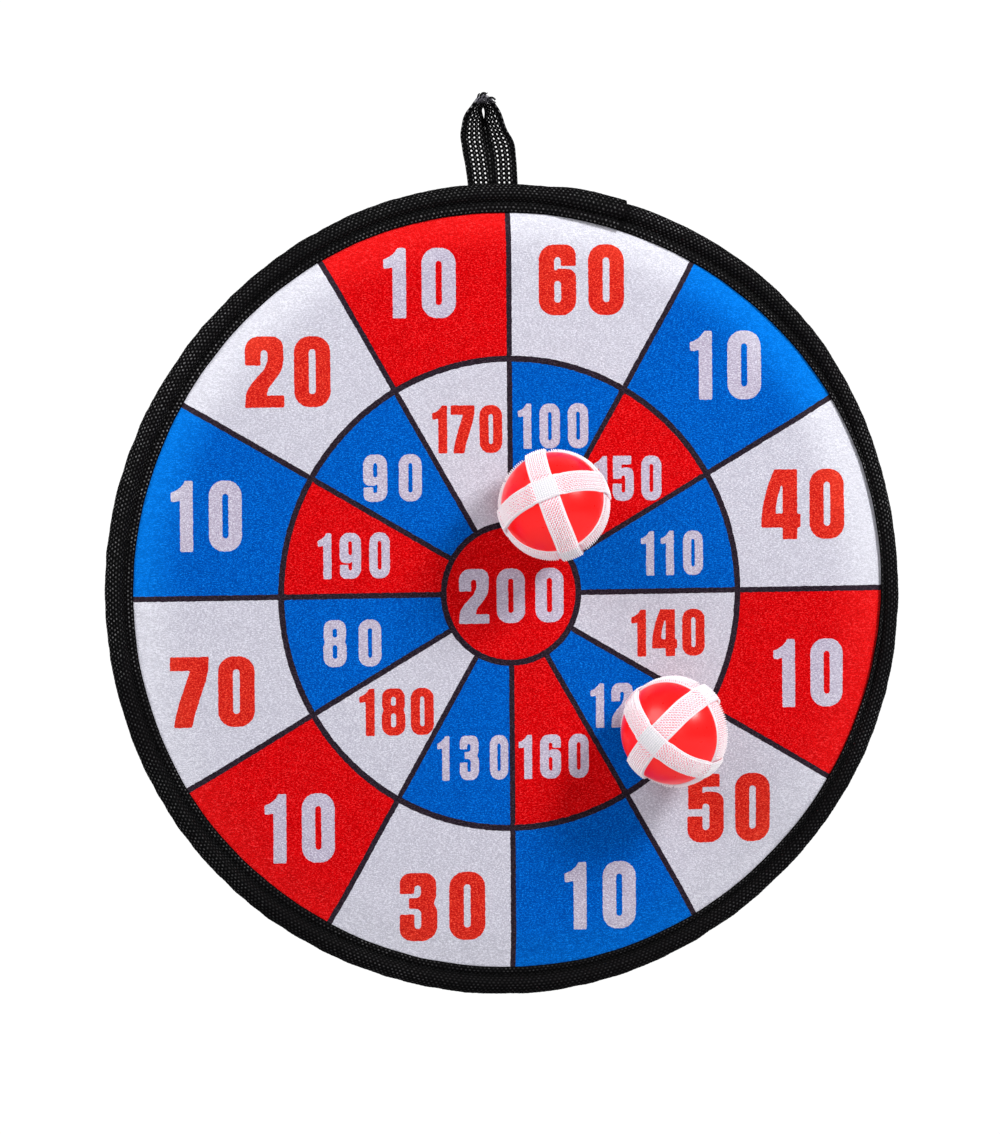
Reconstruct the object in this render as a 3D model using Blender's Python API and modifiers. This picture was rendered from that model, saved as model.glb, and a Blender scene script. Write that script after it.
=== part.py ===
"""Round soft target board with a brushed-loop face, a sewn edge binding and a hanging loop,
and two hollow throwing balls that are each wrapped in three strips of hook tape.

The board stands upright in the XZ plane and its printed face looks along -Y. The origin is
the centre of the back cover's flat rear face, which rests against a wall; +Z runs up to the
hanging loop. A depth is a distance in front of that rear face, so it is measured along -Y.
"""

import math

import bmesh
import bpy
from mathutils import Matrix, Vector

MM = 0.001

# ---------------------------------------------------------------- driving dimensions, in mm
BOARD_R = 140.0            # outside of the binding's roll
TURN_STEPS = 64            # facets round every turned piece of the board

FIELD_DEPTH = 6.9          # the face's front, above the wall
FACE_THICK = 1.0           # loop-pile knit
FACE_R = 136.8
DIP_START, DIP_END, DIP = 118.0, 133.0, 1.6   # where and how far the face is pulled down by the seam
FOAM_R = 136.4
STIFFENER_R = 126.0
STIFFENER_LOW, STIFFENER_HIGH = 0.8, 2.3
COVER_R = 136.8
COVER_THICK = 0.5
COVER_FLAT_R = 126.5       # the flat field that touches the wall
COVER_RIM = 2.1            # how far the cover's rim lies off the wall
GAP = 0.3                  # clearance between neighbours

STITCH_R = 134.0
THREAD_R = 0.2
NEEDLE_DEPTH = 6.77
BOBBIN_DEPTH = 0.72

LAP_ANGLE = 72.0           # where the binding's end laps over its start, from +X towards +Z
LAP_SPAN = 5.5             # degrees
LAP_PROUD = 0.75

LOOP_X = -4.24             # middle of the two sewn legs
TAPE_W, TAPE_T = 8.5, 0.85
TAIL_LOW, TAIL_HIGH = 129.6, 140.85
TAIL_DEPTH, TAIL_T = 0.55, 0.42   # rear side of the sewn tails, and their thickness
TACK_R, TACK_DEPTH = 0.12, 0.15
HINGE_Z = 141.0
LOOP_START = 141.15
EYE_X, EYE_Z = -7.6, 165.45
EYE_HALF = 2.3             # half of the eye's inner width
TWIST_FROM, TWIST_TO = 148.0, 160.0
LOOP_LEAN = -2.0
REAR_EDGE = 0.68           # depth of the loop's rear edge

SHELL_R, SHELL_T = 18.1, 0.8
SHELL_STEPS, SHELL_ARC = 24, 6
STRIP_W = 7.7
STRIP_LOW, STRIP_HIGH = 18.4, 19.25          # a strip that lies on the shell
CRUSHED_HIGH = 18.65                          # the lower strip where another one crosses it
RAISED_LOW, RAISED_T = 18.95, 0.6             # the upper strip where it crosses another one
BUTT_ANGLE, BUTT_GAP = 225.0, 1.4             # degrees: where a strip's two ends meet

# centre, then the directions of the outer and middle strips' crossing and of the middle and
# inner strips' crossing
BALLS = {
    "ball_a": ((11.0, -26.85, 29.2), (-0.391, -0.863, 0.320), (0.217, -0.421, -0.883)),
    "ball_b": ((53.45, -26.55, -49.0), (-0.618, -0.778, -0.119), (0.488, -0.496, 0.716)),
}


# ---------------------------------------------------------------- scene and materials
for old in list(bpy.data.objects):
    bpy.data.objects.remove(old, do_unlink=True)

target = bpy.data.collections.new("target_board")
bpy.context.scene.collection.children.link(target)
cutters = bpy.data.collections.new("cutters")
bpy.context.scene.collection.children.link(cutters)


def material(name, rgb, roughness, metallic=0.0):
    m = bpy.data.materials.new(name)
    m.use_nodes = True
    shader = m.node_tree.nodes["Principled BSDF"]
    shader.inputs["Base Color"].default_value = (*rgb, 1.0)
    shader.inputs["Roughness"].default_value = roughness
    shader.inputs["Metallic"].default_value = metallic
    m.diffuse_color = (*rgb, 1.0)
    return m


FACE_MAT = material("loop_pile_face", (0.78, 0.10, 0.07), 0.95)
FOAM_MAT = material("foam", (0.75, 0.75, 0.73), 0.95)
BOARD_MAT = material("grey_board", (0.42, 0.40, 0.37), 0.9)
COVER_MAT = material("back_cover_cloth", (0.03, 0.03, 0.033), 0.85)
BINDING_MAT = material("binding_tape", (0.012, 0.012, 0.013), 0.7)
THREAD_MAT = material("thread", (0.01, 0.01, 0.012), 0.6)
LOOP_MAT = material("loop_tape", (0.02, 0.02, 0.022), 0.7)
SHELL_MAT = material("red_shell", (0.85, 0.02, 0.015), 0.2)
STRIP_MAT = material("hook_tape", (0.88, 0.84, 0.87), 0.5)


def link(obj, mat, collection=None):
    (collection or target).objects.link(obj)
    obj.data.materials.append(mat)
    return obj


# ---------------------------------------------------------------- modelling helpers
def smooth(t):
    t = min(1.0, max(0.0, t))
    return t * t * (3.0 - 2.0 * t)


def profile_mesh(name, points, closed):
    """A wire in the local XZ plane: (radius, height) pairs in mm."""
    mesh = bpy.data.meshes.new(name)
    verts = [(r * MM, 0.0, z * MM) for r, z in points]
    edges = [(i, i + 1) for i in range(len(points) - 1)]
    if closed:
        edges.append((len(points) - 1, 0))
    mesh.from_pydata(verts, edges, [])
    return mesh


def turned(name, points, steps, mat, closed=True, collection=None):
    """A turned piece: its profile goes round the local Z axis."""
    obj = link(bpy.data.objects.new(name, profile_mesh(name, points, closed)), mat, collection)
    screw = obj.modifiers.new("turn", "SCREW")
    screw.axis = "Z"
    screw.angle = 2.0 * math.pi
    screw.screw_offset = 0.0
    screw.iterations = 1
    screw.steps = steps
    screw.render_steps = steps
    screw.use_merge_vertices = True
    screw.merge_threshold = 0.00001
    screw.use_smooth_shade = True
    return obj


def facing_forward(obj):
    """Local Z, the turning axis, becomes the board's depth along -Y."""
    obj.rotation_euler = (math.pi / 2.0, 0.0, 0.0)
    return obj


def face_depth(r):
    """Depth of the face's front surface, which the seam pulls down near the binding."""
    return FIELD_DEPTH - DIP * smooth((r - DIP_START) / (DIP_END - DIP_START))


def cover_depth(r):
    """Depth of the back cover's rear surface."""
    return COVER_RIM * smooth((r - COVER_FLAT_R) / 4.0)


# ---------------------------------------------------------------- the board's layers
cover_r = [COVER_FLAT_R, 127.8, 129.2, 130.5, COVER_R]
cover = [(0.0, COVER_THICK)] + [(r, cover_depth(r) + COVER_THICK) for r in cover_r]
cover += [(r, cover_depth(r)) for r in reversed(cover_r)] + [(0.0, 0.0)]
facing_forward(turned("back_cover", cover, TURN_STEPS, COVER_MAT, closed=False))

mesh = bpy.data.meshes.new("stiffener_board")
bm = bmesh.new()
bmesh.ops.create_cone(
    bm, cap_ends=True, segments=TURN_STEPS, radius1=STIFFENER_R * MM, radius2=STIFFENER_R * MM,
    depth=(STIFFENER_HIGH - STIFFENER_LOW) * MM,
)
bm.to_mesh(mesh)
bm.free()
stiffener = link(bpy.data.objects.new("stiffener_board", mesh), BOARD_MAT)
stiffener.location = (0.0, -0.5 * (STIFFENER_LOW + STIFFENER_HIGH) * MM, 0.0)
facing_forward(stiffener)

foam_top = lambda r: face_depth(r) - FACE_THICK - GAP
dip_r = [DIP_START, 121.5, 125.0, 128.5, DIP_END]
foam_low = STIFFENER_HIGH + GAP
foam = [(0.0, foam_top(0.0))] + [(r, foam_top(r)) for r in dip_r] + [(FOAM_R, foam_top(FOAM_R))]
foam += [(FOAM_R, 2.95), (129.4, 2.95), (126.6, foam_low), (0.0, foam_low)]
facing_forward(turned("foam_pad", foam, TURN_STEPS, FOAM_MAT, closed=False))

face = [(0.0, face_depth(0.0))] + [(r, face_depth(r)) for r in dip_r] + [(FACE_R, face_depth(FACE_R))]
face += [(r, z - FACE_THICK) for r, z in reversed(face)]
facing_forward(turned("front_fabric", face, TURN_STEPS, FACE_MAT, closed=False))

# The binding is one tape folded round the rim: a flat flange in front, a fat roll that sits
# past the seam, and a flat flange behind. Its outer line runs front to back, then returns
# along the inside of the fold.
BINDING_OUTSIDE = [
    (131.4, 6.35), (133.2, 6.42), (134.0, 6.25), (135.2, 6.9), (136.4, 7.35), (137.9, 7.0),
    (139.2, 5.9), (BOARD_R, 4.3), (139.5, 2.7), (138.2, 1.6), (136.5, 1.25), (131.0, 1.25),
]
BINDING_INSIDE = [
    (131.0, 1.8), (136.4, 1.8), (137.8, 2.2), (138.9, 3.1), (139.35, 4.3), (138.6, 5.55),
    (137.5, 6.45), (136.3, 6.75), (135.2, 6.3), (134.1, 5.65), (131.4, 5.72),
]
binding = facing_forward(
    turned("edge_binding", BINDING_OUTSIDE + BINDING_INSIDE, TURN_STEPS, BINDING_MAT)
)

# The tape's end laps over its start, so a short stretch of the roll is one layer prouder.
LAP_SECTION = [
    (135.3, 6.75), (135.5, 7.0 + LAP_PROUD), (136.7, 7.35 + LAP_PROUD), (138.3, 7.0 + LAP_PROUD),
    (139.9, 5.9 + LAP_PROUD * 0.6), (BOARD_R + LAP_PROUD, 4.3), (140.2, 2.6), (139.3, 2.6),
    (139.6, 4.3), (138.9, 5.75), (137.7, 6.7), (136.3, 7.05),
]


def lap_piece():
    """A short turned stretch of the lapped layer, closed at both cut ends."""
    mesh = bpy.data.meshes.new("lap_stretch")
    bm = bmesh.new()
    ring = [bm.verts.new((r * MM, 0.0, z * MM)) for r, z in LAP_SECTION]
    start = bm.faces.new(ring)
    bmesh.ops.spin(
        bm, geom=[start, *start.edges, *start.verts], axis=(0.0, 0.0, 1.0), cent=(0.0, 0.0, 0.0),
        angle=math.radians(LAP_SPAN), steps=2, use_duplicate=False,
    )
    bmesh.ops.recalc_face_normals(bm, faces=bm.faces)
    bm.to_mesh(mesh)
    bm.free()
    obj = link(bpy.data.objects.new("lap_stretch", mesh), BINDING_MAT, cutters)
    obj.rotation_euler = (
        Matrix.Rotation(math.radians(-LAP_ANGLE), 3, "Y") @ Matrix.Rotation(math.pi / 2.0, 3, "X")
    ).to_euler()
    obj.hide_render = True
    obj.display_type = "WIRE"
    return obj


join = binding.modifiers.new("lap", "BOOLEAN")
join.operation = "UNION"
join.solver = "EXACT"
join.object = lap_piece()

# ---------------------------------------------------------------- the seam's two threads
bpy.ops.mesh.primitive_torus_add(
    major_segments=TURN_STEPS, minor_segments=4, major_radius=STITCH_R * MM,
    minor_radius=THREAD_R * MM, location=(0.0, -NEEDLE_DEPTH * MM, 0.0),
    rotation=(math.pi / 2.0, 0.0, 0.0),
)
needle = bpy.context.active_object
needle.name = "binding_needle_thread"
for c in list(needle.users_collection):
    c.objects.unlink(needle)
link(needle, THREAD_MAT)


def thread_curve(name, points, radius, mat, resolution=0):
    """A round thread through points given in mm."""
    curve = bpy.data.curves.new(name, "CURVE")
    curve.dimensions = "3D"
    curve.bevel_depth = radius * MM
    curve.bevel_resolution = resolution
    curve.use_fill_caps = True
    spline = curve.splines.new("POLY")
    spline.points.add(len(points) - 1)
    for p, co in zip(spline.points, points):
        p.co = (co[0] * MM, co[1] * MM, co[2] * MM, 1.0)
    return link(bpy.data.objects.new(name, curve), mat)


# The bobbin thread stops each side of the hanging loop's tails, which cover it.
middle = math.degrees(math.atan2(STITCH_R, LOOP_X))
clear = math.degrees((TAPE_W + GAP + 0.5) / STITCH_R)
first, last = middle + clear, middle + 360.0 - clear
bobbin = []
for i in range(TURN_STEPS + 1):
    a = math.radians(first + (last - first) * i / TURN_STEPS)
    bobbin.append((STITCH_R * math.cos(a), -BOBBIN_DEPTH, STITCH_R * math.sin(a)))
thread_curve("binding_bobbin_thread", bobbin, THREAD_R, THREAD_MAT)

# ---------------------------------------------------------------- hanging loop
# Its two tails lie side by side on the binding's rear flange.
mesh = bpy.data.meshes.new("loop_sewn_ends")
bm = bmesh.new()
bmesh.ops.create_cube(bm, size=1.0)
bmesh.ops.scale(
    bm, verts=bm.verts,
    vec=((2.0 * TAPE_W + GAP) * MM, TAIL_T * MM, (TAIL_HIGH - TAIL_LOW) * MM),
)
bm.to_mesh(mesh)
bm.free()
tails = link(bpy.data.objects.new("loop_sewn_ends", mesh), LOOP_MAT)
tails.location = (LOOP_X * MM, -(TAIL_DEPTH + 0.5 * TAIL_T) * MM, 0.5 * (TAIL_LOW + TAIL_HIGH) * MM)
round_off = tails.modifiers.new("soft_edges", "BEVEL")
round_off.width = 0.15 * MM
round_off.segments = 1

# Tack stitches hold the tails: a zigzag of thread behind them.
tack = []
for i in range(9):
    tack.append((LOOP_X + (i - 4) * 1.9, -TACK_DEPTH, 132.5 if i % 2 else 135.5))
thread_curve("loop_tack_thread", tack, TACK_R, THREAD_MAT)


def loop_sections():
    """Centre, direction to the rear edge and thickness direction along the tape, in mm."""
    half = TAPE_W / 2.0
    out = []

    def leg(side, z):
        # both legs lean a little as they rise, then turn edge-on and close in on the eye
        lean = LOOP_LEAN * smooth((z - LOOP_START) / 13.0)
        base = LOOP_X + side * (half + GAP / 2.0) + lean
        top = EYE_X + side * (EYE_HALF + TAPE_T / 2.0)
        x = base + (top - base) * smooth((z - TWIST_FROM) / (TWIST_TO - TWIST_FROM))
        turn = 0.5 * math.pi * smooth((z - TWIST_FROM) / (TWIST_TO - TWIST_FROM))
        rear = Vector((-side * math.cos(turn), math.sin(turn), 0.0))
        y = -(REAR_EDGE + half * math.sin(turn)) - 0.3 * math.cos(turn)
        return Vector((x, y, z)), rear

    count = 12
    up = [LOOP_START + (TWIST_TO - LOOP_START) * i / count for i in range(count + 1)]
    up.append(0.5 * (TWIST_TO + EYE_Z))
    for z in up:
        out.append(leg(-1.0, z))
    arch = EYE_HALF + TAPE_T / 2.0
    for i in range(0, 9):
        a = math.pi * (1.0 - i / 8.0)
        out.append(
            (
                Vector((EYE_X + arch * math.cos(a), -(REAR_EDGE + half), EYE_Z + arch * math.sin(a))),
                Vector((0.0, 1.0, 0.0)),
            )
        )
    for z in reversed(up):
        out.append(leg(1.0, z))
    return out


def ribbon(name, sections, width, thickness, mat):
    """A flat tape lofted through sections that turn as they go."""
    mesh = bpy.data.meshes.new(name)
    bm = bmesh.new()
    rings = []
    n = len(sections)
    for i, (c, rear) in enumerate(sections):
        ahead = sections[min(i + 1, n - 1)][0] - sections[max(i - 1, 0)][0]
        if i in (0, n - 1):
            ahead = Vector((0.0, 0.0, 1.0 if i == 0 else -1.0))
        ahead.normalize()
        side = (rear - ahead * rear.dot(ahead)).normalized()
        flat = ahead.cross(side).normalized()
        corners = [(-1, -1), (1, -1), (1, 1), (-1, 1)]
        rings.append(
            [
                bm.verts.new((c + side * (0.5 * width * s) + flat * (0.5 * thickness * f)) * MM)
                for s, f in corners
            ]
        )
    for a, b in zip(rings, rings[1:]):
        for k in range(4):
            bm.faces.new((a[k], a[(k + 1) % 4], b[(k + 1) % 4], b[k]))
    bm.faces.new(list(reversed(rings[0])))
    bm.faces.new(rings[-1])
    bmesh.ops.recalc_face_normals(bm, faces=bm.faces)
    bm.to_mesh(mesh)
    bm.free()
    return link(bpy.data.objects.new(name, mesh), mat)


loop_axis = bpy.data.objects.new("loop_hinge_line", None)
target.objects.link(loop_axis)
loop_axis.location = (LOOP_X * MM, -0.75 * MM, HINGE_Z * MM)
loop = ribbon("hanging_loop", loop_sections(), TAPE_W, TAPE_T, LOOP_MAT)
loop.parent = loop_axis
loop.matrix_parent_inverse = Matrix.Translation(-loop_axis.location)


# ---------------------------------------------------------------- the balls
def shell_half(name, sign, mat):
    """Half of the hollow ball, open at the seam: outer arc from the pole, lip, inner arc back."""
    seam = GAP / 2.0
    outer, inner = SHELL_R, SHELL_R - SHELL_T
    a0 = math.asin(seam / outer)
    b0 = math.asin(seam / inner)
    points = []
    for i in range(SHELL_ARC + 1):
        a = 0.5 * math.pi + (a0 - 0.5 * math.pi) * i / SHELL_ARC
        points.append((outer * math.cos(a), outer * math.sin(a)))
    for i in range(SHELL_ARC + 1):
        b = b0 + (0.5 * math.pi - b0) * i / SHELL_ARC
        points.append((inner * math.cos(b), inner * math.sin(b)))
    points[0] = (0.0, outer)
    points[-1] = (0.0, inner)
    obj = turned(name, points, SHELL_STEPS, mat, closed=False)
    if sign < 0:
        obj.rotation_euler = (math.pi, 0.0, 0.0)
    return obj


def strip_radii(phi, above, below):
    """Inner and outer radius of a hook strip at angle phi, in degrees."""
    low, high = STRIP_LOW, STRIP_HIGH
    for at in below:
        d = abs((phi - at + 180.0) % 360.0 - 180.0)
        if d < 17.0:
            t = smooth((d - 13.6) / 3.4)
            high = CRUSHED_HIGH + (STRIP_HIGH - CRUSHED_HIGH) * t
    for at in above:
        d = abs((phi - at + 180.0) % 360.0 - 180.0)
        if d < 21.0:
            t = smooth((d - 12.6) / 8.4)
            raised = RAISED_LOW / math.cos(math.radians(min(d, 12.6)))
            low = raised + (STRIP_LOW - raised) * t
            high = raised + RAISED_T + (STRIP_HIGH - raised - RAISED_T) * t
    return low, high


def hook_strip(name, plane, above, below, mat):
    """One strip of tape round the ball, whose two cut ends butt together.
    plane is two local axes; the strip starts at the first and turns towards the second."""
    u, v = plane
    w = u.cross(v)
    mesh = bpy.data.meshes.new(name)
    bm = bmesh.new()
    angles = set()
    start = BUTT_ANGLE + 0.5 * BUTT_GAP
    end = BUTT_ANGLE + 360.0 - 0.5 * BUTT_GAP
    steps = 30
    for i in range(steps + 1):
        angles.add(round(start + (end - start) * i / steps, 3))
    for at in above + below:
        for d in (-20.9, -16.8, -13.1, 13.1, 16.8, 20.9, 0.0, -6.5, 6.5):
            a = at + d
            while a < start:
                a += 360.0
            if a < end:
                angles.add(round(a, 3))
    ordered = sorted(angles)
    kept = [ordered[0]]
    for a in ordered[1:-1]:
        near = min(abs((a - c + 180.0) % 360.0 - 180.0) for c in above + below)
        regular = any(abs(near - d) < 0.01 for d in (0.0, 6.5, 13.1, 16.8, 20.9))
        if near < 22.5 and not regular:
            continue
        if a - kept[-1] > 1.5:
            kept.append(a)
    kept.append(ordered[-1])
    rings = []
    half = 0.5 * STRIP_W
    for a in kept:
        low, high = strip_radii(a, above, below)
        d = u * math.cos(math.radians(a)) + v * math.sin(math.radians(a))
        section = ((low, -half), (high, -half), (high, half), (low, half))
        rings.append([bm.verts.new((d * r + w * s) * MM) for r, s in section])
    for p, q in zip(rings, rings[1:]):
        for k in range(4):
            bm.faces.new((p[k], p[(k + 1) % 4], q[(k + 1) % 4], q[k]))
    bm.faces.new(list(reversed(rings[0])))
    bm.faces.new(rings[-1])
    bmesh.ops.recalc_face_normals(bm, faces=bm.faces)
    bm.to_mesh(mesh)
    bm.free()
    return link(bpy.data.objects.new(name, mesh), mat)


X, Y, Z = Vector((1, 0, 0)), Vector((0, 1, 0)), Vector((0, 0, 1))
for ball, (centre, front, lower) in BALLS.items():
    e1 = Vector(front).normalized()
    e3 = Vector(lower)
    e3 = (e3 - e1 * e3.dot(e1)).normalized()
    e2 = e1.cross(e3)
    frame = bpy.data.objects.new(ball + "_centre", None)
    target.objects.link(frame)
    turn = Matrix((e3, e2, e1)).transposed()
    frame.location = Vector(centre) * MM
    frame.rotation_euler = turn.to_euler()
    pieces = [
        shell_half(ball + "_front_shell", 1, SHELL_MAT),
        shell_half(ball + "_rear_shell", -1, SHELL_MAT),
        hook_strip(ball + "_inner_strip", (X, Y), [], [0.0, 90.0, 180.0, 270.0], STRIP_MAT),
        hook_strip(ball + "_middle_strip", (Z, X), [90.0, 270.0], [0.0, 180.0], STRIP_MAT),
        hook_strip(ball + "_outer_strip", (Z, Y), [0.0, 90.0, 180.0, 270.0], [], STRIP_MAT),
    ]
    for p in pieces:
        p.parent = frame

for obj in target.objects:
    if obj.type == "MESH" and obj.name.endswith(("_shell", "stiffener_board")):
        obj.data.shade_smooth()
        obj.data.set_sharp_from_angle(angle=math.radians(40.0))
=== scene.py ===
"""The looks of a soft target board, with its brushed-loop face, sewn binding and hanging loop,
and of its two hollow throwing balls, each wrapped in three strips of hook tape.

The row frame is the design's: the board stands in the XZ plane, its face looks along -Y, and
the origin is the middle of its flat rear face. Lengths below are millimetres unless a name
says otherwise, and a depth is a distance in front of the rear face.
"""

import math

import bmesh
import bpy
import numpy as np
from mathutils import Matrix, Vector, kdtree
from mathutils.geometry import delaunay_2d_cdt


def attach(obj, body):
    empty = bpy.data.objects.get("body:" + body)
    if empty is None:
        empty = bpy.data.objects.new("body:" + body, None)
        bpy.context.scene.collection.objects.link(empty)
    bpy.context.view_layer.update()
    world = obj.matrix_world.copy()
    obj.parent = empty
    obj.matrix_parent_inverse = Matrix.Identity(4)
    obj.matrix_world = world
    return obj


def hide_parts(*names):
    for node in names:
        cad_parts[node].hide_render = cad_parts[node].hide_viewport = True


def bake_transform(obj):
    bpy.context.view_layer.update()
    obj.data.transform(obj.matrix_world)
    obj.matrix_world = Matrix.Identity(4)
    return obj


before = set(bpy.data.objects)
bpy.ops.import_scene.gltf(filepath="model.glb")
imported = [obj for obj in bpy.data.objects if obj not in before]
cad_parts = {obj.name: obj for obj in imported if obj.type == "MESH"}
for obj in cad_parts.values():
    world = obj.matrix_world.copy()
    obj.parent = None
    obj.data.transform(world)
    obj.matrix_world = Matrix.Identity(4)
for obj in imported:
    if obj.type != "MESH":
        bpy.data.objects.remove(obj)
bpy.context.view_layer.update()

scene = bpy.context.scene
MM = 0.001
TAU = 2.0 * math.pi
rng = np.random.default_rng(41)


# ================================================================ camera, light and stage
def look_from(azimuth, elevation, distance, target):
    """Where a camera or lamp stands, and how it turns, to look at target."""
    a, e = math.radians(azimuth), math.radians(elevation)
    back = Vector((math.sin(a) * math.cos(e), -math.cos(a) * math.cos(e), math.sin(e)))
    return Vector(target) + back * distance, back.to_track_quat("Z", "Y").to_euler()


camera = bpy.data.objects.new("camera", bpy.data.cameras.new("camera"))
scene.collection.objects.link(camera)
camera.data.lens = 217.77
camera.data.sensor_width = 36.0
camera.data.sensor_fit = "AUTO"
camera.data.clip_start = 0.05
camera.data.clip_end = 50.0
camera.location, camera.rotation_euler = look_from(-13.59, 1.79, 2.370, (-0.00155, 0.0, 0.00724))
scene.camera = camera
scene.view_settings.view_transform = "Standard"
scene.view_settings.look = "None"


def softbox(name, azimuth, elevation, distance, size, power, tint=(1.0, 1.0, 1.0), target=(0.0, 0.0, 0.0)):
    lamp = bpy.data.lights.new(name, "AREA")
    lamp.shape = "RECTANGLE"
    lamp.size, lamp.size_y = size
    lamp.energy = power
    lamp.color = tint
    obj = bpy.data.objects.new(name, lamp)
    scene.collection.objects.link(obj)
    obj.location, obj.rotation_euler = look_from(azimuth, elevation, distance, target)
    return obj


softbox("key_softbox", 40.0, 36.0, 1.15, (0.30, 0.30), 11.2)
softbox("fill_softbox", -60.0, 32.0, 1.00, (0.60, 0.60), 5.8)
softbox("front_fill", -5.0, 10.0, 1.7, (0.9, 0.9), 2.6)

world = bpy.data.worlds.new("studio")
scene.world = world
world.use_nodes = True
wt = world.node_tree
wt.nodes.clear()
w_out = wt.nodes.new("ShaderNodeOutputWorld")
w_mix = wt.nodes.new("ShaderNodeMixShader")
w_fill = wt.nodes.new("ShaderNodeBackground")
w_seen = wt.nodes.new("ShaderNodeBackground")
w_path = wt.nodes.new("ShaderNodeLightPath")
w_fill.inputs[0].default_value = (0.97, 0.98, 1.0, 1.0)
w_fill.inputs[1].default_value = 0.22
w_seen.inputs[0].default_value = (1.0, 1.0, 1.0, 1.0)
w_seen.inputs[1].default_value = 1.05
wt.links.new(w_path.outputs["Is Camera Ray"], w_mix.inputs[0])
wt.links.new(w_fill.outputs[0], w_mix.inputs[1])
wt.links.new(w_seen.outputs[0], w_mix.inputs[2])
wt.links.new(w_mix.outputs[0], w_out.inputs[0])


# ================================================================ node helpers
class Nodes:
    """Short calls for wiring one material's nodes."""

    def __init__(self, name):
        self.material = bpy.data.materials.new(name)
        self.material.use_nodes = True
        self.tree = self.material.node_tree
        self.tree.nodes.clear()
        self.out = self.tree.nodes.new("ShaderNodeOutputMaterial")
        self.shader = self.tree.nodes.new("ShaderNodeBsdfPrincipled")
        self.tree.links.new(self.shader.outputs[0], self.out.inputs[0])

    def put(self, socket, value):
        if isinstance(value, bpy.types.NodeSocket):
            self.tree.links.new(value, socket)
        elif value is not None:
            if hasattr(socket.default_value, "__len__") and not hasattr(value, "__len__"):
                value = (value,) * len(socket.default_value)
            if hasattr(socket.default_value, "__len__") and len(value) == 3 and len(socket.default_value) == 4:
                value = (*value, 1.0)
            socket.default_value = value

    def set(self, **values):
        for key, value in values.items():
            self.put(self.shader.inputs[key.replace("_", " ")], value)

    def node(self, kind, *args, **props):
        n = self.tree.nodes.new(kind)
        for key, value in props.items():
            setattr(n, key, value)
        for socket, value in zip(n.inputs, args):
            self.put(socket, value)
        return n

    def math(self, op, a, b=None, c=None, clamp=False):
        return self.node("ShaderNodeMath", a, b, c, operation=op, use_clamp=clamp).outputs[0]

    def vec(self, op, a, b=None):
        n = self.node("ShaderNodeVectorMath", a, b, operation=op)
        return n.outputs["Value"] if op in ("LENGTH", "DOT_PRODUCT", "DISTANCE") else n.outputs[0]

    def place(self, scale=(1.0, 1.0, 1.0)):
        """Position on the piece in millimetres, times a scale."""
        coords = self.node("ShaderNodeTexCoord").outputs["Object"]
        return self.vec("MULTIPLY", coords, tuple(1000.0 * s for s in scale))

    def uv(self):
        return self.node("ShaderNodeUVMap", uv_map="tape").outputs[0]

    def noise(self, vector, scale=1.0, detail=2.0, rough=0.5, lift=0.0):
        n = self.node("ShaderNodeTexNoise", vector)
        n.inputs["Scale"].default_value = scale
        n.inputs["Detail"].default_value = detail
        n.inputs["Roughness"].default_value = rough
        n.inputs["Distortion"].default_value = lift
        return n.outputs[0]

    def cells(self, vector, scale=1.0, feature="F1", random=1.0):
        n = self.node("ShaderNodeTexVoronoi", vector, feature=feature)
        n.inputs["Scale"].default_value = scale
        n.inputs["Randomness"].default_value = random
        return n.outputs["Distance"]

    def span(self, value, a, b, c=0.0, d=1.0):
        n = self.node("ShaderNodeMapRange", value, a, b, c, d, interpolation_type="SMOOTHSTEP")
        return n.outputs[0]

    def mix(self, factor, a, b):
        n = self.node("ShaderNodeMix", data_type="RGBA")
        self.put(n.inputs[0], factor)
        self.put(n.inputs[6], a)
        self.put(n.inputs[7], b)
        return n.outputs[2]

    def bump(self, height, depth, strength=1.0, under=None):
        """depth is the relief in millimetres between heights 0 and 1."""
        n = self.node("ShaderNodeBump")
        n.inputs["Strength"].default_value = strength
        n.inputs["Distance"].default_value = depth * MM
        self.put(n.inputs["Height"], height)
        if under is not None:
            self.put(n.inputs["Normal"], under)
        return n.outputs[0]


def shade(colour, k):
    return tuple(min(1.0, c * k) for c in colour)


def lattice(n, vector, along, across, stretch=1.0):
    """How far a place is from the middle of its net cell, from 0 to about 0.7, and from the
    nearest crossing of the net's bars."""
    scaled = n.vec("MULTIPLY", vector, (1.0 / along, 1.0 / across, 0.0))
    cell = n.vec("SUBTRACT", n.vec("FRACTION", scaled), (0.5, 0.5, 0.0))
    cross = n.vec("SUBTRACT", n.vec("FRACTION", n.vec("ADD", scaled, (0.5, 0.5, 0.0))), (0.5, 0.5, 0.0))
    cell, cross = n.vec("MULTIPLY", cell, (1.0, stretch, 0.0)), n.vec("MULTIPLY", cross, (1.0, stretch, 0.0))
    return n.vec("LENGTH", cell), n.vec("LENGTH", cross)


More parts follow.
